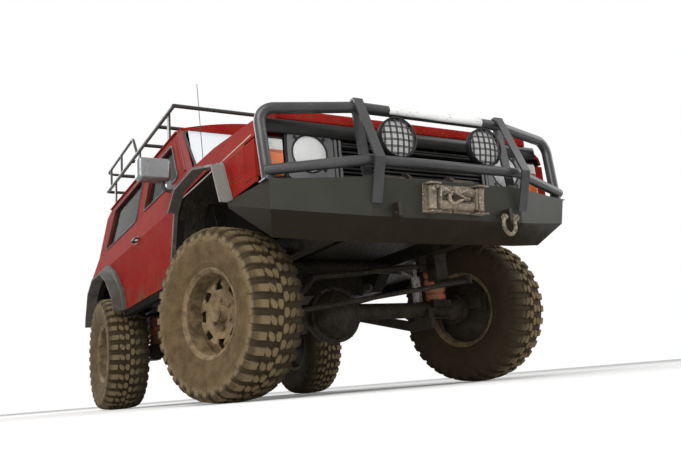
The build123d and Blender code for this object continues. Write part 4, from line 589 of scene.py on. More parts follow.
# Dust shields: pressed steel dishes behind the brake discs, bolted to the knuckles and to the rear axle.
shield_profile = [(-0.0805, 0.047), (-0.0805, 0.118), (-0.0745, 0.128), (-0.0745, 0.178), (-0.066, 0.190),
                  (-0.064, 0.190), (-0.0725, 0.1765), (-0.0725, 0.129), (-0.0785, 0.119), (-0.0785, 0.047)]
for wheel, carrier in (("fr", "knuckle_right"), ("fl", "knuckle_left"), ("rr", "vehicle"), ("rl", "vehicle")):
    centre, outward = [row[2:4] for row in wheel_rows if row[0] == wheel][0]
    fitted(f"dust_shield_{wheel}", turned(shield_profile, 48), under_steel, carrier,
           place=wheel_place(centre, outward, 0))

# Plate bumper: folded and welded steel plate, dark grey with a green cast, mud on its undercut lower plate.
# Its side wings and undercut faces are painted shade: dark brown and without reflection.
bumper_paint = dirty_finish("worn dark grey bumper paint", (0.022, 0.023, 0.018), (0.030, 0.030, 0.023), 0.42,
                            metallic=0.15, mud=(0.036, 0.027, 0.015), top=0.735, spread=0.10, spatter=0.06,
                            wear=0.06, worn=(0.10, 0.095, 0.08), relief=0.15, specular=0.22)
bumper_tree = bumper_paint.node_tree
bumper_shader = bumper_tree.nodes["Principled BSDF"]
face_colour = bumper_shader.inputs["Base Color"].links[0].from_socket
# Painted shade: faces that look sideways or down turn dark brown and lose their reflection
bumper_frame = wire(bumper_tree, "ShaderNodeTexCoord")
fold = wire(bumper_tree, "ShaderNodeSeparateXYZ", {0: bumper_frame.outputs["Normal"]})
wing = wire(bumper_tree, "ShaderNodeMath", {0: fold.outputs[1]}, operation="ABSOLUTE")
wing = wire(bumper_tree, "ShaderNodeMapRange", {0: wing.outputs[0], 1: 0.3, 2: 0.5})
under = wire(bumper_tree, "ShaderNodeMapRange", {0: fold.outputs[2], 1: -0.25, 2: -0.40})
bumper_shade_mask = wire(bumper_tree, "ShaderNodeMath", {0: wing.outputs[0], 1: under.outputs[0]}, operation="MAXIMUM")
bumper_shade_mask = wire(bumper_tree, "ShaderNodeMath", {0: bumper_shade_mask.outputs[0], 1: 0.85}, operation="MULTIPLY")
bumper_shade_colour = wire(bumper_tree, "ShaderNodeMix", {0: bumper_shade_mask.outputs[0], 6: face_colour}, data_type="RGBA")
bumper_shade_colour.inputs[7].default_value = (0.020, 0.0155, 0.010, 1)
bumper_tree.links.new(bumper_shade_colour.outputs[2], bumper_shader.inputs["Base Color"])
bumper_shade_no_sheen = wire(bumper_tree, "ShaderNodeMapRange", {0: bumper_shade_mask.outputs[0], 3: 0.22, 4: 0.0})
bumper_tree.links.new(bumper_shade_no_sheen.outputs[0], bumper_shader.inputs["Specular IOR Level"])
dress(["bumper"], bumper_paint)
tow_steel = dirty_finish("muddy bare steel", (0.26, 0.22, 0.17), (0.15, 0.115, 0.08), 0.40, metallic=0.55,
                         mud=(0.20, 0.155, 0.105), top=0.72, spread=0.2, spatter=0.28, wear=0.28,
                         worn=(0.48, 0.44, 0.38), relief=0.4, damp=0.35)


def rounded_path(points, radius, steps=6):
    """Points of an open run of straights whose corners are arcs of about this radius."""
    path = [Vector(points[0])]
    for i in range(1, len(points) - 1):
        corner = Vector(points[i])
        back = Vector(points[i - 1]) - corner
        fore = Vector(points[i + 1]) - corner
        cut = min(radius, back.length * 0.49, fore.length * 0.49)
        start = corner + back.normalized() * cut
        end = corner + fore.normalized() * cut
        for step in range(steps + 1):
            t = step / steps
            path.append(start * (1 - t) ** 2 + corner * 2 * t * (1 - t) + end * t ** 2)
    path.append(Vector(points[-1]))
    return path


def rod(path, radius, sides=10, ring=False):
    """A round bar along a path, open with flat ends or closed as a ring."""
    path = [Vector(p) for p in path]
    count = len(path)
    verts = []
    faces = []
    side_way = None
    for i, point in enumerate(path):
        if ring:
            along = (path[(i + 1) % count] - path[i - 1]).normalized()
        else:
            along = (path[min(i + 1, count - 1)] - path[max(i - 1, 0)]).normalized()
        if side_way is None:
            side_way = along.orthogonal().normalized()
        side_way = (side_way - along * side_way.dot(along)).normalized()
        other = along.cross(side_way)
        for k in range(sides):
            angle = 2 * math.pi * k / sides
            verts.append(point + (side_way * math.cos(angle) + other * math.sin(angle)) * radius)
    for i in range(count if ring else count - 1):
        for k in range(sides):
            a = i * sides + k
            b = i * sides + (k + 1) % sides
            n = (i + 1) % count
            faces.append((a, b, n * sides + (k + 1) % sides, n * sides + k))
    if not ring:
        faces.append(tuple(range(sides)))
        faces.append(tuple(range((count - 1) * sides, count * sides)))
    return shell(verts, faces)


def brick(low, high):
    """A plain box between two corners, to be bevelled."""
    (x0, y0, z0), (x1, y1, z1) = low, high
    verts = [(x0, y0, z0), (x1, y0, z0), (x1, y1, z0), (x0, y1, z0),
             (x0, y0, z1), (x1, y0, z1), (x1, y1, z1), (x0, y1, z1)]
    return shell(verts, [(0, 3, 2, 1), (4, 5, 6, 7), (0, 1, 5, 4), (1, 2, 6, 5), (2, 3, 7, 6), (3, 0, 4, 7)])


def plate(outline, low, high, plane="XZ"):
    """A flat piece: its outline on a plane of the car, from low to high across that plane."""
    count = len(outline)
    verts = []
    for across in (low, high):
        for u, v in outline:
            verts.append({"XZ": (u, across, v), "YZ": (across, u, v), "XY": (u, v, across)}[plane])
    faces = [tuple(range(count)), tuple(range(count, 2 * count))]
    for i in range(count):
        j = (i + 1) % count
        faces.append((i, j, count + j, count + i))
    return shell(verts, faces)


# Bow shackle: a forged bow hangs from the left tow lug on a screw pin with a loop end.
shackle_bow = rod(rounded_path([(2.221, 0.290, 0.757), (2.221, 0.278, 0.728), (2.221, 0.280, 0.692),
                                (2.221, 0.314, 0.664), (2.221, 0.348, 0.692), (2.221, 0.350, 0.728),
                                (2.221, 0.338, 0.757)], 0.03, 8), 0.0095, 12)
shackle_pin = rod([(2.221, 0.274, 0.754), (2.221, 0.358, 0.754)], 0.0085, 12)
shackle_loop = rod([(2.221, 0.366 + 0.010 * math.cos(math.pi * k / 8),
                     0.754 + 0.012 * math.sin(math.pi * k / 8))
                    for k in range(16)], 0.004, 8, ring=True)
shackle_eyes = [turned([(y - 0.006, 0.0), (y - 0.006, 0.016), (y + 0.006, 0.016), (y + 0.006, 0.0)], 20)
                for y in (0.289, 0.339)]
for eye in shackle_eyes:
    eye.transform(Matrix.Translation((2.221, 0, 0.754)))
fitted("bow_shackle", joined([shackle_bow, shackle_pin, shackle_loop, *shackle_eyes]), tow_steel, "vehicle")

# Roller fairlead: two upright and two level rollers in a bent plate frame on the bumper's face.
# The winch cable's thimble rests in it.
fairlead_lean = Matrix.Translation((2.2018, 0, 0.828)) @ Matrix.Rotation(math.radians(8.55), 4, "Y")
fairlead_parts = [
    plate([(y, z) for y, z in [(-0.166, -0.064), (0.166, -0.064), (0.166, 0.064), (-0.166, 0.064)]],
          0.0, 0.007, "YZ")]
for z0, z1 in ((-0.067, -0.060), (0.060, 0.067)):
    for y0, y1 in ((-0.166, -0.104), (0.104, 0.166)):
        fairlead_parts.append(brick((0.0, y0, z0), (0.068, y1, z1)))
for y in (-0.101, 0.101):
    fairlead_parts.append(brick((0.0, y - 0.004, -0.046), (0.060, y + 0.004, 0.046)))
fitted("fairlead_frame", joined(fairlead_parts), tow_steel, "vehicle", place=fairlead_lean,
       bevel=0.0015, replaced=["fairlead"])
roller_profile = [(-1.0, 0.0), (-1.0, 0.75), (-0.94, 1.0), (-0.5, 0.93), (0.0, 0.90), (0.5, 0.93),
                  (0.94, 1.0), (1.0, 0.75), (1.0, 0.0)]
fairlead_rollers = []
for y in (-0.135, 0.135):
    upright_roller = turned([(a * 0.055, r * 0.0205) for a, r in roller_profile], 24)
    upright_roller.transform(Matrix.Translation((0.038, y, 0)) @ Matrix.Rotation(math.radians(90), 4, "X"))
    fairlead_rollers.append(upright_roller)
    fairlead_rollers.append(rod([Vector((0.038, y, -0.072)), Vector((0.038, y, 0.072))], 0.009, 12))
for z in (-0.030, 0.030):
    level_roller = turned([(a * 0.094, r * 0.0215) for a, r in roller_profile], 24)
    level_roller.transform(Matrix.Translation((0.036, 0, z)))
    fairlead_rollers.append(level_roller)
fitted("fairlead_rollers", joined(fairlead_rollers), tow_steel, "vehicle", place=fairlead_lean)
thimble_points = [(0.064, 0.028, 0.0)]
for k in range(13):
    angle = math.radians(40 + 280 * k / 12)
    thimble_points.append((0.064, -0.032 + 0.027 * math.cos(angle), 0.027 * math.sin(angle)))
thimble = rod(thimble_points, 0.0085, 10, ring=True)
cable_sleeve = rod([Vector((0.058, 0.028, 0.0)), Vector((0.050, 0.060, 0.0)), Vector((0.012, 0.078, 0.0))],
                   0.0095, 12)
fitted("cable_eye", joined([thimble, cable_sleeve]), tow_steel, "vehicle", place=fairlead_lean)

# Winch: motor, drum with wound steel rope and gear case on its tray, black housings under dust.
winch_paint = dirty_finish("dusty winch housing", (0.03, 0.03, 0.03), (0.05, 0.048, 0.042), 0.45,
                           metallic=0.3, spatter=0.2, wear=0.15, relief=0.3)
dress(["winch"], winch_paint)
rope_turns = []
for k in range(15):
    y = -0.112 + 0.016 * k
    rope_turns.append(rod([(2.021 + 0.046 * math.cos(math.pi * j / 12), y,
                            0.9223 + 0.046 * math.sin(math.pi * j / 12)) for j in range(24)],
                          0.0075, 8, ring=True))
fitted("winch_rope", joined(rope_turns), tow_steel, "vehicle")

# Front panel: black slats and header of moulded plastic, grey painted lamp panels with a raised edge, and
# two grey strips beside each panel. A rounded lip of red steel closes the hood's front edge.
black_trim = dirty_finish("dusty black plastic", (0.010, 0.010, 0.010), (0.018, 0.018, 0.017), 0.35,
                          mud=(0.10, 0.08, 0.05), top=0.55, spread=0.35, spatter=0.05, wear=0.04,
                          worn=(0.06, 0.058, 0.05), relief=0.10, specular=0.25)
grey_paint = dirty_finish("grey lamp panel paint", (0.115, 0.118, 0.125), (0.16, 0.16, 0.165), 0.35,
                          metallic=0.25, top=0.55, spread=0.3, spatter=0.12, wear=0.05, relief=0.1)
dress(["grille"], black_trim)
fitted("grille_header", joined([
    plate([(1.9530, 1.166), (1.9560, 1.166), (1.9655, 1.180), (1.9680, 1.204), (1.9640, 1.228),
           (1.9600, 1.232), (1.9530, 1.230)], -0.800, 0.800),
    plate([(1.9465, 1.128), (1.9530, 1.130), (1.9530, 1.138), (1.9465, 1.140)], -0.440, 0.440),
]), black_trim, "vehicle", bevel=0.002)
fitted("hood_lip", plate([(1.700, 1.268), (1.715, 1.282), (1.770, 1.291), (1.850, 1.298), (1.915, 1.299),
                          (1.945, 1.290), (1.9575, 1.270), (1.9585, 1.238), (1.952, 1.234), (1.900, 1.238)],
                         -0.744, 0.744),
       red_paint, "hood", bevel=0.005, steps=2)
for side_name, side in (("right", -1), ("left", 1)):
    panel_hole = [(side * (0.582 + 0.0925 * math.cos(math.pi * k / 24)),
                   1.082 + 0.0925 * math.sin(math.pi * k / 24))
                  for k in range(48)]
    panel_edge = []
    for y, z in panel_hole:
        dy, dz = y - side * 0.582, z - 1.082
        reach_y = 0.113 if dy * side > 0 else 0.122
        grow = min(reach_y / max(abs(dy), 1e-6), (0.084 if dz > 0 else 0.124) / max(abs(dz), 1e-6))
        panel_edge.append((side * 0.582 + dy * grow, 1.082 + dz * max(grow, 1.0)))
    ring_count = len(panel_hole)
    panel_verts = [(x, y, z)
                   for x, outline in ((1.9485, panel_edge), (1.9515, panel_edge),
                                      (1.9515, panel_hole), (1.9470, panel_hole))
                   for y, z in outline]
    panel_faces = [(lane * ring_count + k, lane * ring_count + (k + 1) % ring_count,
                    (lane + 1) * ring_count + (k + 1) % ring_count, (lane + 1) * ring_count + k)
                   for lane in range(3) for k in range(ring_count)]
    strips = [brick((1.9470, side * y - 0.006, 0.965), (1.9545, side * y + 0.006, 1.160))
              for y in (0.447, 0.424)]
    fitted(f"lamp_panel_{side_name}", joined([shell(panel_verts, panel_faces), *strips]), grey_paint,
           "vehicle", bevel=0.001)

# Round headlamps: a chrome reflector behind a fluted glass lens, held by a black ring with four tabs.
chrome = dirty_finish("lamp reflector", (0.88, 0.88, 0.87), (0.82, 0.82, 0.80), 0.30, metallic=0.9,
                      spatter=0.0, wear=0.0, relief=0.0)
lens_glass = bpy.data.materials.new("fluted lamp glass")
lens_glass.use_nodes = True
lens_tree = lens_glass.node_tree
lens_shader = lens_tree.nodes["Principled BSDF"]
lens_shader.inputs["Transmission Weight"].default_value = 0.45
lens_shader.inputs["IOR"].default_value = 1.2
lens_dust = wire(lens_tree, "ShaderNodeGroup", node_tree=mud_group)
for key, value in (("Top", 0.2), ("Spread", 0.4), ("Spatter", 0.04)):
    lens_dust.inputs[key].default_value = value
lens_colour = wire(lens_tree, "ShaderNodeMix", {0: lens_dust.outputs["Mask"]}, data_type="RGBA")
lens_colour.inputs[6].default_value = (0.93, 0.93, 0.92, 1)
lens_colour.inputs[7].default_value = (0.45, 0.42, 0.36, 1)
lens_tree.links.new(lens_colour.outputs[2], lens_shader.inputs["Base Color"])
lens_rough = wire(lens_tree, "ShaderNodeMapRange", {0: lens_dust.outputs["Mask"], 3: 0.14, 4: 0.6})
lens_tree.links.new(lens_rough.outputs[0], lens_shader.inputs["Roughness"])
lens_place = wire(lens_tree, "ShaderNodeTexCoord").outputs["Object"]
flutes = wire(lens_tree, "ShaderNodeTexWave", {"Vector": lens_place, "Scale": 26.0, "Distortion": 0.0},
              wave_type="BANDS", bands_direction="Y")
flute_bump = wire(lens_tree, "ShaderNodeBump",
                  {"Strength": 0.15, "Distance": 0.002, "Height": flutes.outputs[0]})
lens_tree.links.new(flute_bump.outputs[0], lens_shader.inputs["Normal"])


def lamp_parts(centre, radius, bowl, rise):
    """Reflector and lens meshes of a round lamp that looks forward, its rim at centre."""
    place = wheel_place(centre, (1, 0, 0), 0)
    bowl_mesh = turned([(-bowl, 0.0), (-bowl * 0.9, radius * 0.4), (-bowl * 0.6, radius * 0.72),
                        (-0.004, radius * 0.97), (-0.004, radius), (-bowl * 0.62, radius * 0.78),
                        (-bowl - 0.003, radius * 0.42), (-bowl - 0.004, 0.0)], 40)
    lens_mesh = turned([(-0.003, 0.0), (-0.003, radius * 0.985), (0.0, radius * 0.99),
                        (rise * 0.36, radius * 0.86), (rise * 0.68, radius * 0.62),
                        (rise * 0.92, radius * 0.32), (rise, 0.0)], 48)
    bowl_mesh.transform(place)
    lens_mesh.transform(place)
    return bowl_mesh, lens_mesh


for side_name, side in (("right", -1), ("left", 1)):
    bowl_mesh, lens_mesh = lamp_parts((1.948, side * 0.582, 1.082), 0.0855, 0.050, 0.019)
    fitted(f"headlamp_reflector_{side_name}", bowl_mesh, chrome, "vehicle",
           replaced=["headlights"])
    fitted(f"headlamp_lens_{side_name}", lens_mesh, lens_glass, "vehicle")
    ring = turned([(0.0, 0.0845), (0.004, 0.0845), (0.0075, 0.089), (0.006, 0.0945), (0.0, 0.0955)], 48)
    ring.transform(wheel_place((1.9465, side * 0.582, 1.082), (1, 0, 0), 0))
    tabs = []
    for quarter in (45, 135, 225, 315):
        tab = brick((-0.009, 0.0, 0.090), (0.009, 0.007, 0.112))
        tab.transform(wheel_place((1.9465, side * 0.582, 1.082), (1, 0, 0), 0)
                      @ Matrix.Rotation(math.radians(quarter), 4, "Y"))
        tabs.append(tab)
    fitted(f"headlamp_ring_{side_name}", joined([ring, *tabs]), black_trim, "vehicle", bevel=0.0012)

# Spotlights on the bull bar: black steel bowls, clear lenses, and a snap-on guard of square black mesh.
lamp_black = dirty_finish("black spotlight shell", (0.004, 0.004, 0.004), (0.008, 0.008, 0.008), 0.4,
                          mud=(0.03, 0.025, 0.018), spatter=0.04, wear=0.02, worn=(0.04, 0.04, 0.04),
                          relief=0.1, specular=0.2)
guard_pitch = 0.0310
for side_name, side in (("right", -1), ("left", 1)):
    centre = (2.180, side * 0.252, 1.109)
    bowl_mesh, lens_mesh = lamp_parts(centre, 0.091, 0.052, 0.017)
    fitted(f"spotlight_reflector_{side_name}", bowl_mesh, chrome, "vehicle",
           replaced=["spotlights"])
    fitted(f"spotlight_lens_{side_name}", lens_mesh, lens_glass, "vehicle")
    bowl_shell = turned([(-0.073, 0.0), (-0.072, 0.030), (-0.055, 0.066), (-0.020, 0.093), (-0.014, 0.0985),
                         (0.006, 0.0985), (0.010, 0.0955), (0.008, 0.0915), (-0.006, 0.0925),
                         (-0.045, 0.068), (-0.060, 0.0)], 48)
    bowl_shell.transform(wheel_place(centre, (1, 0, 0), 0))
    foot = rod([(2.160, side * 0.252, 1.0045), (2.160, side * 0.252, 1.030)], 0.013, 14)
    fork = plate([(2.136, 1.0045), (2.184, 1.0045), (2.184, 1.012), (2.136, 1.012)],
                 side * 0.252 - 0.028, side * 0.252 + 0.028)
    fitted(f"spotlight_shell_{side_name}", joined([bowl_shell, foot, fork]), lamp_black, "vehicle",
           bevel=0.001)
    wires = [rod([(2.1935, side * 0.252 + 0.094 * math.cos(math.pi * k / 20),
                   1.109 + 0.094 * math.sin(math.pi * k / 20)) for k in range(40)], 0.0045, 8, ring=True)]
    for offset in [(line + 0.5) * guard_pitch + shift
                   for line in range(-3, 3) for shift in (-0.0028, 0.0028)]:
        half = math.sqrt(0.094 ** 2 - offset ** 2)
        for upright in (0, 1):
            run = []
            for k in range(11):
                t = -half + 2 * half * k / 10
                y, z = (offset, t) if upright else (t, offset)
                run.append((2.1935 + 0.0155 * (1 - (y * y + z * z) / 0.094 ** 2),
                            side * 0.252 + y, 1.109 + z))
            wires.append(rod(run, 0.0021, 6))
    fitted(f"spotlight_guard_{side_name}", joined(wires), lamp_black, "vehicle")

# Lamp clusters: amber lenses with a clear upper third on the front corners, and upright rear clusters in
# white, red and amber. All have fine moulded ribs.
signal_lens = bpy.data.materials.new("moulded signal lens")
signal_lens.use_nodes = True
signal_tree = signal_lens.node_tree
signal_shader = signal_tree.nodes["Principled BSDF"]
signal_shader.inputs["Roughness"].default_value = 0.16
signal_shader.inputs["Coat Weight"].default_value = 0.8
signal_place = wire(signal_tree, "ShaderNodeTexCoord").outputs["Object"]
signal_axes = wire(signal_tree, "ShaderNodeSeparateXYZ", {0: signal_place})
bands = []
for low, high in ((1.0845, 1.0865), (0.9600, 0.9620), (1.0600, 1.0620), (1.0700, 1.0715)):
    bands.append(wire(signal_tree, "ShaderNodeMapRange", {0: signal_axes.outputs[2], 1: low, 2: high}))
front_mix = wire(signal_tree, "ShaderNodeMix", {0: bands[0].outputs[0]}, data_type="RGBA")
amber = wire(signal_tree, "ShaderNodeMix", {0: bands[3].outputs[0]}, data_type="RGBA")
amber.inputs[6].default_value = (0.70, 0.13, 0.010, 1)
amber.inputs[7].default_value = (0.40, 0.055, 0.005, 1)
signal_tree.links.new(amber.outputs[2], front_mix.inputs[6])
front_mix.inputs[7].default_value = (0.60, 0.60, 0.58, 1)
rear_mix = wire(signal_tree, "ShaderNodeMix", {0: bands[1].outputs[0]}, data_type="RGBA")
rear_mix.inputs[6].default_value = (0.62, 0.62, 0.60, 1)
rear_mix.inputs[7].default_value = (0.45, 0.01, 0.01, 1)
rear_top = wire(signal_tree, "ShaderNodeMix", {0: bands[2].outputs[0], 6: rear_mix.outputs[2]},
                data_type="RGBA")
rear_top.inputs[7].default_value = (0.75, 0.17, 0.012, 1)
at_front = wire(signal_tree, "ShaderNodeMapRange", {0: signal_axes.outputs[0], 1: -0.1, 2: 0.1})
lens_mix = wire(signal_tree, "ShaderNodeMix", {0: at_front.outputs[0], 6: rear_top.outputs[2],
                                              7: front_mix.outputs[2]}, data_type="RGBA")
signal_dust = wire(signal_tree, "ShaderNodeGroup", node_tree=mud_group)
for key, value in (("Top", 0.5), ("Spread", 0.4), ("Spatter", 0.10)):
    signal_dust.inputs[key].default_value = value
signal_mix = wire(signal_tree, "ShaderNodeMix", {0: signal_dust.outputs["Mask"], 6: lens_mix.outputs[2]},
                  data_type="RGBA")
signal_mix.inputs[7].default_value = (0.30, 0.22, 0.14, 1)
signal_tree.links.new(signal_mix.outputs[2], signal_shader.inputs["Base Color"])
ribs = wire(signal_tree, "ShaderNodeTexWave", {"Vector": signal_place, "Scale": 34.0, "Distortion": 0.0},
            wave_type="BANDS", bands_direction="Z")
rib_bump = wire(signal_tree, "ShaderNodeBump",
                {"Strength": 0.4, "Distance": 0.002, "Height": ribs.outputs[0]})
signal_tree.links.new(rib_bump.outputs[0], signal_shader.inputs["Normal"])
for side_name, side in (("right", -1), ("left", 1)):
    lens = brick((1.842, min(side * 0.716, side * 0.803), 0.962),
                 (1.9565, max(side * 0.716, side * 0.803), 1.140))
    cluster = brick((-1.9405, min(side * 0.8155, side * 0.8565), 0.861),
                    (-1.9185, max(side * 0.8155, side * 0.8565), 1.159))
    fitted(f"signal_lenses_{side_name}", joined([lens, cluster]), signal_lens, "vehicle", bevel=0.010,
           steps=3, replaced=["signal_lamps"])
    cheek = brick((1.8365, min(side * 0.804, side * 0.8570), 0.957),
                  (1.9508, max(side * 0.804, side * 0.8578), 1.131))
    rims_of_lens = [brick((1.9460, min(side * y0, side * y1), z0), (1.9535, max(side * y0, side * y1), z1))
                    for y0, y1, z0, z1 in ((0.7135, 0.8045, 0.955, 0.961), (0.7135, 0.8045, 1.1405, 1.1465))]
    fitted(f"fender_cheek_{side_name}", cheek, red_paint, "vehicle", bevel=0.0015)
    fitted(f"lens_surround_{side_name}", joined(rims_of_lens), black_trim, "vehicle", bevel=0.001)

# Bull bar: bent and welded tubes with two flat uprights, in dark grey paint. A blank white strip of
# plastic is wrapped over the front of its top tube.
tube_paint = dirty_finish("dark grey bull bar paint", (0.030, 0.031, 0.034), (0.046, 0.046, 0.049), 0.30,
                          metallic=0.3, coat=0.12, spatter=0.07, wear=0.06, worn=(0.14, 0.13, 0.12),
                          relief=0.08, specular=0.35)
dress(["bull_bar"], tube_paint)
white_plastic = dirty_finish("white strip", (0.74, 0.74, 0.72), (0.66, 0.66, 0.64), 0.5, top=0.3,
                             spatter=0.10, wear=0.04, worn=(0.4, 0.38, 0.34), relief=0.05)
banner_rows = []
for k in range(13):
    y = -0.245 + 0.545 * k / 12
    row = []
    for angle in range(-50, 131, 20):
        swell = 0.0285 + 0.002 * math.sin(9.0 * y) + 0.0012 * math.sin(31.0 * y)
        row.append((2.111 + swell * math.cos(math.radians(angle)), y,
                    1.266 + swell * math.sin(math.radians(angle))))
    banner_rows.append(row)
banner_verts = [v for row in banner_rows for v in row]
banner_width = len(banner_rows[0])
banner_faces = [(i * banner_width + j, i * banner_width + j + 1, (i + 1) * banner_width + j + 1,
                 (i + 1) * banner_width + j) for i in range(12) for j in range(banner_width - 1)]
banner_mesh = bpy.data.meshes.new("banner")
banner_mesh.from_pydata(banner_verts, [], banner_faces)
banner = fitted("blank_strip", banner_mesh, white_plastic, "vehicle")
banner_wall = banner.modifiers.new("thickness", "SOLIDIFY")
banner_wall.thickness = 0.0015
banner_wall.offset = 0

# Body trim: rubber seals round every pane, red drip rails along the roof, a pale line on the fender's
# fold, door handles, wipers and a whip aerial. Small bought or bent parts, clipped or screwed on.
seal_rubber = dirty_finish("dusty seal rubber", (0.010, 0.010, 0.010), (0.022, 0.021, 0.019), 0.6,
                           spatter=0.10, wear=0.02, relief=0.1)


def side_y(z):
    """Y of the body's outer side at a height."""
    rows = [(0.0, 0.858), (1.130, 0.858), (1.335, 0.790), (1.710, 0.714), (1.812, 0.668), (2.0, 0.60)]
    for (z0, y0), (z1, y1) in zip(rows, rows[1:]):
        if z <= z1:
            return y0 + (y1 - y0) * (z - z0) / (z1 - z0)
    return rows[-1][1]


def loop_path(points, radius, steps=5):
    """A closed run through corner points, its corners rounded."""
    path = []
    count = len(points)
    for i in range(count):
        corner = Vector(points[i])
        back = Vector(points[i - 1]) - corner
        fore = Vector(points[(i + 1) % count]) - corner
        cut = min(radius, back.length * 0.45, fore.length * 0.45)
        start = corner + back.normalized() * cut
        end = corner + fore.normalized() * cut
        for step in range(steps + 1):
            t = step / steps
            path.append(start * (1 - t) ** 2 + corner * 2 * t * (1 - t) + end * t ** 2)
    return path


def loop_path_flat(points, radius):
    """A rounded closed outline of flat (u, v) points."""
    return [(p.x, p.y) for p in loop_path([(u, v, 0) for u, v in points], radius)]


door_pane = [(0.566, 1.366), (0.235, 1.690), (-0.289, 1.690), (-0.289, 1.366)]
quarter_pane = [(-0.507, 1.348), (-0.531, 1.712), (-1.548, 1.700), (-1.610, 1.348)]
for side_name, side in (("right", -1), ("left", 1)):
    for pane_name, outline, body in (("door", door_pane, f"door_{side_name}"),
                                     ("quarter", quarter_pane, "vehicle")):
        bead = rod(loop_path([(x, side * (side_y(z) + 0.001), z) for x, z in outline], 0.04), 0.0075, 8,
                   ring=True)
        fitted(f"{pane_name}_seal_{side_name}", bead, seal_rubber, body)
    rail = rod(rounded_path([(-1.912, side * 0.683, 1.800), (0.244, side * 0.683, 1.800),
                             (0.752, side * 0.797, 1.352)], 0.06), 0.0075, 8)
    fitted(f"drip_rail_{side_name}", rail, red_paint, "vehicle")
screen_seal = rod(loop_path([(0.762, -0.722, 1.349), (0.762, 0.722, 1.349), (0.266, 0.652, 1.793),
                             (0.266, -0.652, 1.793)], 0.06), 0.009, 8, ring=True)
fitted("screen_seal", screen_seal, seal_rubber, "vehicle")
for door_name, low_y, high_y in (("large", -0.640, 0.158), ("small", 0.290, 0.640)):
    bead = rod(loop_path([(-1.921, low_y, 1.350), (-1.921, high_y, 1.350), (-1.921, high_y, 1.700),
                          (-1.921, low_y, 1.700)], 0.04), 0.0075, 8, ring=True)
    fitted(f"rear_seal_{door_name}", bead, seal_rubber, f"rear_door_{door_name}")

cream_line = dirty_finish("pale trim line", (0.62, 0.52, 0.42), (0.50, 0.40, 0.32), 0.5, spatter=0.08,
                          wear=0.08, relief=0.05)
for side_name, side in (("right", -1), ("left", 1)):
    line = rod([(x, side * (side_y(z) + 0.001), z) for x, z in (
        (0.79, 1.150), (1.10, 1.152), (1.50, 1.156), (1.80, 1.160), (1.905, 1.162))], 0.0036, 6)
    fitted(f"fender_line_{side_name}", line, cream_line, "vehicle")
    handle_y = side_y(1.14)
    pocket = turned([(-0.001, 0.0), (-0.001, 0.030), (0.003, 0.034), (0.004, 0.030), (0.002, 0.0)], 24)
    pocket.transform(Matrix.Translation((-0.215, side * handle_y, 1.135))
                     @ Matrix.Diagonal((2.1, side, 0.8, 1)))
    lever = rod(rounded_path([(-0.155, side * (handle_y + 0.004), 1.140),
                              (-0.160, side * (handle_y + 0.024), 1.141),
                              (-0.262, side * (handle_y + 0.026), 1.137),
                              (-0.268, side * (handle_y + 0.004), 1.136)], 0.014, 4), 0.0085, 10)
    lock = turned([(0.0, 0.0), (0.0, 0.010), (0.004, 0.009), (0.005, 0.0)], 16)
    lock.transform(Matrix.Translation((-0.300, side * handle_y, 1.122)) @ Matrix.Diagonal((1, side, 1, 1)))
    fitted(f"door_handle_{side_name}", joined([pocket, lever, lock]), black_trim, f"door_{side_name}")

wiper_parts = []
for root_y, tip_y in ((0.56, 0.02), (0.02, -0.52)):
    wiper_parts.append(rod(rounded_path([(0.792, root_y, 1.336), (0.786, root_y, 1.353),
                                         (0.768, root_y - 0.03, 1.366),
                                         (0.738, tip_y + 0.22, 1.388)], 0.02, 4), 0.005, 8))
    wiper_parts.append(rod([(0.745, root_y - 0.06, 1.376), (0.733, tip_y, 1.386)], 0.0055, 8))
fitted("wipers", joined(wiper_parts), black_trim, "vehicle")
aerial_foot = turned([(0.0, 0.0), (0.0, 0.014), (0.016, 0.009), (0.022, 0.004), (0.022, 0.0)], 16)
aerial_foot.transform(Matrix.Translation((0.925, -0.742, 1.330)) @ Matrix.Rotation(math.radians(90), 4, "X"))
aerial = rod([(0.925, -0.742, 1.335), (0.915, -0.743, 1.46), (0.870, -0.744, 1.86)], 0.0022, 6)
fitted("aerial", joined([aerial_foot, aerial]), black_trim, "vehicle")

# Hub caps, wheel nuts and valves of the four road wheels and the spare, as muddy as their rims.
nut = turned([(0.0275, 0.0), (0.0275, 0.0115), (0.040, 0.0105), (0.043, 0.006), (0.043, 0.0)], 6)
cap_ribs = turned([(0.000, 0.0), (0.000, 0.0465), (0.034, 0.0455), (0.038, 0.0430), (0.060, 0.0405),
                   (0.0655, 0.0335), (0.0675, 0.0300), (0.0755, 0.0265), (0.0765, 0.0)], 36)
for wheel, body, centre, outward, rolled in wheel_rows:
    bits = []
    for k in range(6):
        angle = math.radians(60 * k + 30)
        bit = nut.copy()
        bit.transform(Matrix.Translation((0.0695 * math.cos(angle), 0, 0.0695 * math.sin(angle))))
        bits.append(bit)
    if wheel != "spare":
        bits.append(cap_ribs.copy())
    valve = rod([(0.176, 0.036, 0.0), (0.182, 0.060, 0.0)], 0.004, 8)
    bits.append(valve)
    fitted(f"hub_parts_{wheel}", joined(bits), rim_steel, body, place=wheel_place(centre, outward, rolled))

# Roof rack: welded steel tube in satin black.
rack_paint = dirty_finish("satin black rack paint", (0.016, 0.016, 0.016), (0.028, 0.028, 0.027), 0.38,
                          metallic=0.2, spatter=0.06, wear=0.06, worn=(0.12, 0.10, 0.08), relief=0.1)
dress(["roof_rack"], rack_paint)

# Arch flares: black rubber lips round the cut arches, muddy on the side that faces the tyre.
flare_rubber = dirty_finish("muddy flare rubber", (0.030, 0.029, 0.027), (0.052, 0.048, 0.042), 0.55,
                            mud=(0.085, 0.068, 0.045), top=0.80, spread=0.35, spatter=0.22, wear=0.12,
                            worn=(0.12, 0.11, 0.10), relief=0.3)
dress(["arch_flares"], flare_rubber)
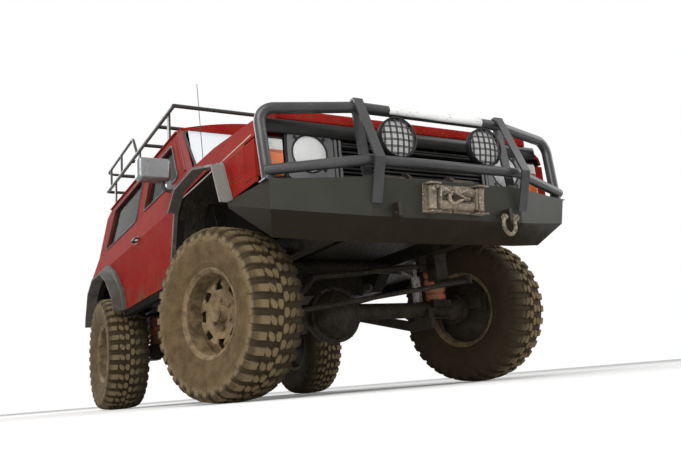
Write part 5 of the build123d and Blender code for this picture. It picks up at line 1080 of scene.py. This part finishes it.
# The front part of each front flare, from about x = 1.46 forward, is coloured light grey
flare_tree = flare_rubber.node_tree
flare_shader = flare_tree.nodes["Principled BSDF"]
flare_place = wire(flare_tree, "ShaderNodeSeparateXYZ",
                   {0: wire(flare_tree, "ShaderNodeTexCoord").outputs["Object"]})
flare_front_grey = wire(flare_tree, "ShaderNodeMapRange", {0: flare_place.outputs[0], 1: 1.45, 2: 1.47, 4: 0.9})
flare_front_grey_mix = wire(flare_tree, "ShaderNodeMix", {0: flare_front_grey.outputs[0],
                                               6: flare_shader.inputs["Base Color"].links[0].from_socket},
                  data_type="RGBA")
flare_front_grey_mix.inputs[7].default_value = (0.165, 0.155, 0.140, 1)
flare_tree.links.new(flare_front_grey_mix.outputs[2], flare_shader.inputs["Base Color"])
mirror_shell = dirty_finish("silver mirror shell", (0.24, 0.25, 0.26), (0.20, 0.205, 0.21), 0.28,
                            metallic=0.85, spatter=0.14, wear=0.05, relief=0.1)
dress(["mirror_left", "mirror_right"], mirror_shell)
mirror_glass = dirty_finish("mirror glass", (0.75, 0.77, 0.78), (0.70, 0.72, 0.73), 0.08, metallic=1.0,
                            spatter=0.05, wear=0.0, relief=0.0)
for side_name, side in (("right", -1), ("left", 1)):
    face = plate([(side * y, z) for y, z in loop_path_flat([(0.868, 1.330), (1.032, 1.330), (1.032, 1.446),
                                                            (0.868, 1.446)], 0.022)], 0.5695, 0.5722, "YZ")
    fitted(f"mirror_glass_{side_name}", face, mirror_glass, f"door_{side_name}")
    arm = rod(rounded_path([(0.609, side * 0.846, 1.262), (0.609, side * 0.884, 1.268),
                            (0.609, side * 0.900, 1.325)], 0.03, 5), 0.0125, 12)
    foot = turned([(-0.002, 0.0), (-0.002, 0.026), (0.006, 0.024), (0.009, 0.014), (0.009, 0.0)], 20)
    foot.transform(Matrix.Translation((0.609, side * 0.812, 1.268)) @ Matrix.Diagonal((1.2, side, 1.0, 1)))
    fitted(f"mirror_arm_{side_name}", joined([arm, foot]), seal_rubber, f"door_{side_name}")

# Rear end: a plate holder left blank and the doors' handle.
plate_white = dirty_finish("blank plate", (0.70, 0.70, 0.68), (0.60, 0.60, 0.58), 0.45, top=0.9, spread=0.5,
                           spatter=0.18, wear=0.05, relief=0.1)
fitted("blank_plate", joined([brick((-1.9265, 0.335, 0.800), (-1.9215, 0.600, 0.960))]), plate_white,
       "rear_door_small", bevel=0.002)
rear_lever = rod(rounded_path([(-1.918, 0.196, 1.130), (-1.940, 0.190, 1.130),
                               (-1.944, 0.100, 1.124)], 0.015, 4), 0.008, 10)
rear_boss = turned([(0.0, 0.0), (0.0, 0.024), (0.008, 0.022), (0.012, 0.012), (0.012, 0.0)], 24)
rear_boss.transform(wheel_place((-1.919, 0.196, 1.130), (-1, 0, 0), 0))
fitted("rear_handle", joined([rear_lever, rear_boss]), black_trim, "rear_door_large")

# Cabin: moulded dashboard with a hooded dial panel, a thin-rimmed steering wheel, seats in dark cloth.
dress(["dashboard", "steering_wheel"], black_trim)
dial_hood = joined([
    brick((0.478, 0.215, 1.292), (0.640, 0.545, 1.330)),
    brick((0.476, -0.520, 1.180), (0.486, -0.180, 1.250)),
    brick((0.476, -0.120, 1.060), (0.484, 0.140, 1.230)),
])
fitted("dashboard_panels", dial_hood, black_trim, "vehicle", bevel=0.012, steps=3)
gear_lever = rod([(-0.02, 0.06, 0.745), (0.02, 0.05, 0.95), (0.00, 0.05, 1.04)], 0.010, 10)
gear_knob = turned([(-0.024, 0.0), (-0.020, 0.014), (0.0, 0.023), (0.020, 0.016), (0.026, 0.0)], 20)
gear_knob.transform(Matrix.Translation((0.0, 0.05, 1.05)) @ Matrix.Rotation(math.radians(90), 4, "X"))
fitted("gear_lever", joined([gear_lever, gear_knob]), black_trim, "vehicle")
seat_cloth = dirty_finish("dark seat cloth", (0.030, 0.030, 0.034), (0.040, 0.040, 0.044), 0.92, top=0.2,
                          spatter=0.04, wear=0.0, relief=0.15)
seat_shell = dirty_finish("seat base plastic", (0.015, 0.015, 0.015), (0.02, 0.02, 0.02), 0.6, top=0.2,
                          spatter=0.05, wear=0.03, relief=0.05)


def swell(mesh, cap):
    """The mesh blown up like a stuffed cover, no point moving further than cap."""
    holder = bpy.data.objects.new("pad", mesh)
    scene.collection.objects.link(holder)
    remesh = holder.modifiers.new("voxels", "REMESH")
    remesh.mode = "VOXEL"
    remesh.voxel_size = 0.010
    graph = bpy.context.evaluated_depsgraph_get()
    fine = bpy.data.meshes.new_from_object(holder.evaluated_get(graph), depsgraph=graph)
    bpy.data.objects.remove(holder)
    rest = [v.co.copy() for v in fine.vertices]
    holder = bpy.data.objects.new("pad", fine)
    scene.collection.objects.link(holder)
    cloth = holder.modifiers.new("stuffing", "CLOTH")
    cloth.settings.quality = 5
    cloth.settings.mass = 0.3
    cloth.settings.use_pressure = True
    cloth.settings.uniform_pressure_force = 4
    cloth.settings.effector_weights.gravity = 0
    for step in range(1, 21):
        scene.frame_set(step)
    graph = bpy.context.evaluated_depsgraph_get()
    blown = bpy.data.meshes.new_from_object(holder.evaluated_get(graph), depsgraph=graph)
    bpy.data.objects.remove(holder)
    scene.frame_set(1)
    for vertex, start in zip(blown.vertices, rest):
        way = vertex.co - start
        if way.length > cap:
            vertex.co = start + way.normalized() * cap
    return blown


def pad_form(rows):
    """A closed form from rings of four corners each."""
    verts = [corner for row in rows for corner in row]
    faces = [(0, 1, 2, 3), tuple(range(len(verts) - 4, len(verts)))]
    for level in range(len(rows) - 1):
        for i in range(4):
            j = (i + 1) % 4
            faces.append((level * 4 + i, level * 4 + j, level * 4 + 4 + j, level * 4 + 4 + i))
    return shell(verts, faces)


seat_frames = []
# Each seat: name, middle y, front x, half width, top of the cushion
for seat_name, seat_y, front, half, top in [
    ("right", -0.38, 0.241, 0.225, 1.085), ("left", 0.38, 0.241, 0.225, 1.085),
    ("bench_right", -0.27, -0.709, 0.245, 1.080), ("bench_left", 0.27, -0.709, 0.245, 1.080),
]:
    low_y, high_y = seat_y - half, seat_y + half
    cushion = pad_form([
        [(x, low_y, z0), (x, high_y, z0), (x, high_y, z1), (x, low_y, z1)]
        for x, z0, z1 in [(front - 0.425, top - 0.122, top - 0.040), (front - 0.20, top - 0.126, top - 0.028),
                          (front - 0.028, top - 0.126, top - 0.022)]])
    back = pad_form([
        [(front - 0.500 - lean, low_y + tuck, top + z), (front - 0.500 - lean, high_y - tuck, top + z),
         (front - 0.450 - lean, high_y - tuck, top + z), (front - 0.450 - lean, low_y + tuck, top + z)]
        for lean, z, tuck in [(0.010, 0.03, 0.0), (0.058, 0.24, 0.0),
                              (0.104, 0.40, 0.03), (0.118, 0.462, 0.07)]])
    for pad_name, form, channel_axis in (("cushion", cushion, 0), ("back", back, 2)):
        blown = swell(form, 0.024)
        pad_piece = fitted(f"seat_{pad_name}_{seat_name}", blown, seat_cloth, "vehicle",
                           replaced=["seats"])
        for vertex in blown.vertices:
            rise = min(abs(vertex.co.y - seat_y - half * 0.52), abs(vertex.co.y - seat_y + half * 0.52))
            dent = 0.007 * math.exp(-(rise / 0.011) ** 2)
            if channel_axis == 0:
                vertex.co.z -= dent if vertex.co.z > top - 0.07 else 0
            else:
                vertex.co.x -= dent
        finer = pad_piece.modifiers.new("smooth cloth", "SUBSURF")
        finer.levels = 1
        finer.render_levels = 1
    seat_frames.append(brick((front - 0.43, low_y + 0.01, 0.746),
                             (front - 0.045, high_y - 0.01, top - 0.155)))
    seat_frames.append(brick((front - 0.45, low_y + 0.03, top - 0.158),
                             (front - 0.02, high_y - 0.03, top - 0.134)))
fitted("seat_bases", joined(seat_frames), seat_shell, "vehicle", bevel=0.012, steps=2)

# Axle fittings: cover plates on both diff housings, each held by a ring of bolts, and drain plugs.
bolt = turned([(0.0, 0.0), (0.0, 0.010), (0.009, 0.0095), (0.010, 0.006), (0.010, 0.0)], 6)


def bolt_ring(count, radius, along):
    """Bolts on a circle round Y, standing at this place along it."""
    bits = []
    for k in range(count):
        angle = 2 * math.pi * (k + 0.5) / count
        bit = bolt.copy()
        bit.transform(Matrix.Translation((radius * math.cos(angle), along, radius * math.sin(angle))))
        bits.append(bit)
    return bits


for axle_name, body, centre, facing in (("front", "vehicle", (1.335, -0.205, 0.405), (1, 0, 0)),
                                        ("rear", "vehicle", (-1.093, -0.150, 0.412), (-1, 0, 0))):
    flange = turned([(0.040, 0.118), (0.040, 0.1465), (0.054, 0.1465), (0.054, 0.118)], 48)
    dome = turned([(0.052, 0.0), (0.052, 0.128), (0.062, 0.126), (0.112, 0.092), (0.136, 0.050),
                   (0.1435, 0.0)], 40)
    plug = turned([(0.138, 0.0), (0.138, 0.014), (0.149, 0.013), (0.149, 0.0)], 6)
    plug.transform(Matrix.Translation((0.052, -0.022, 0.0)))
    fitted(f"{axle_name}_axle_cover", joined([flange, dome, plug, *bolt_ring(10, 0.137, 0.053)]), under_steel,
           body, place=wheel_place(centre, facing, 0))
clamps = []
for x in (1.321, -1.079):
    for y in (-0.505, 0.505):
        for dx in (-0.030, 0.030):
            clamps.append(rod(rounded_path([(x + dx, y - 0.050, 0.482), (x + dx, y - 0.050, 0.374),
                                            (x + dx, y + 0.050, 0.374), (x + dx, y + 0.050, 0.482)], 0.02, 4),
                              0.006, 8))
fitted("axle_clamps", joined(clamps), under_steel, "vehicle")
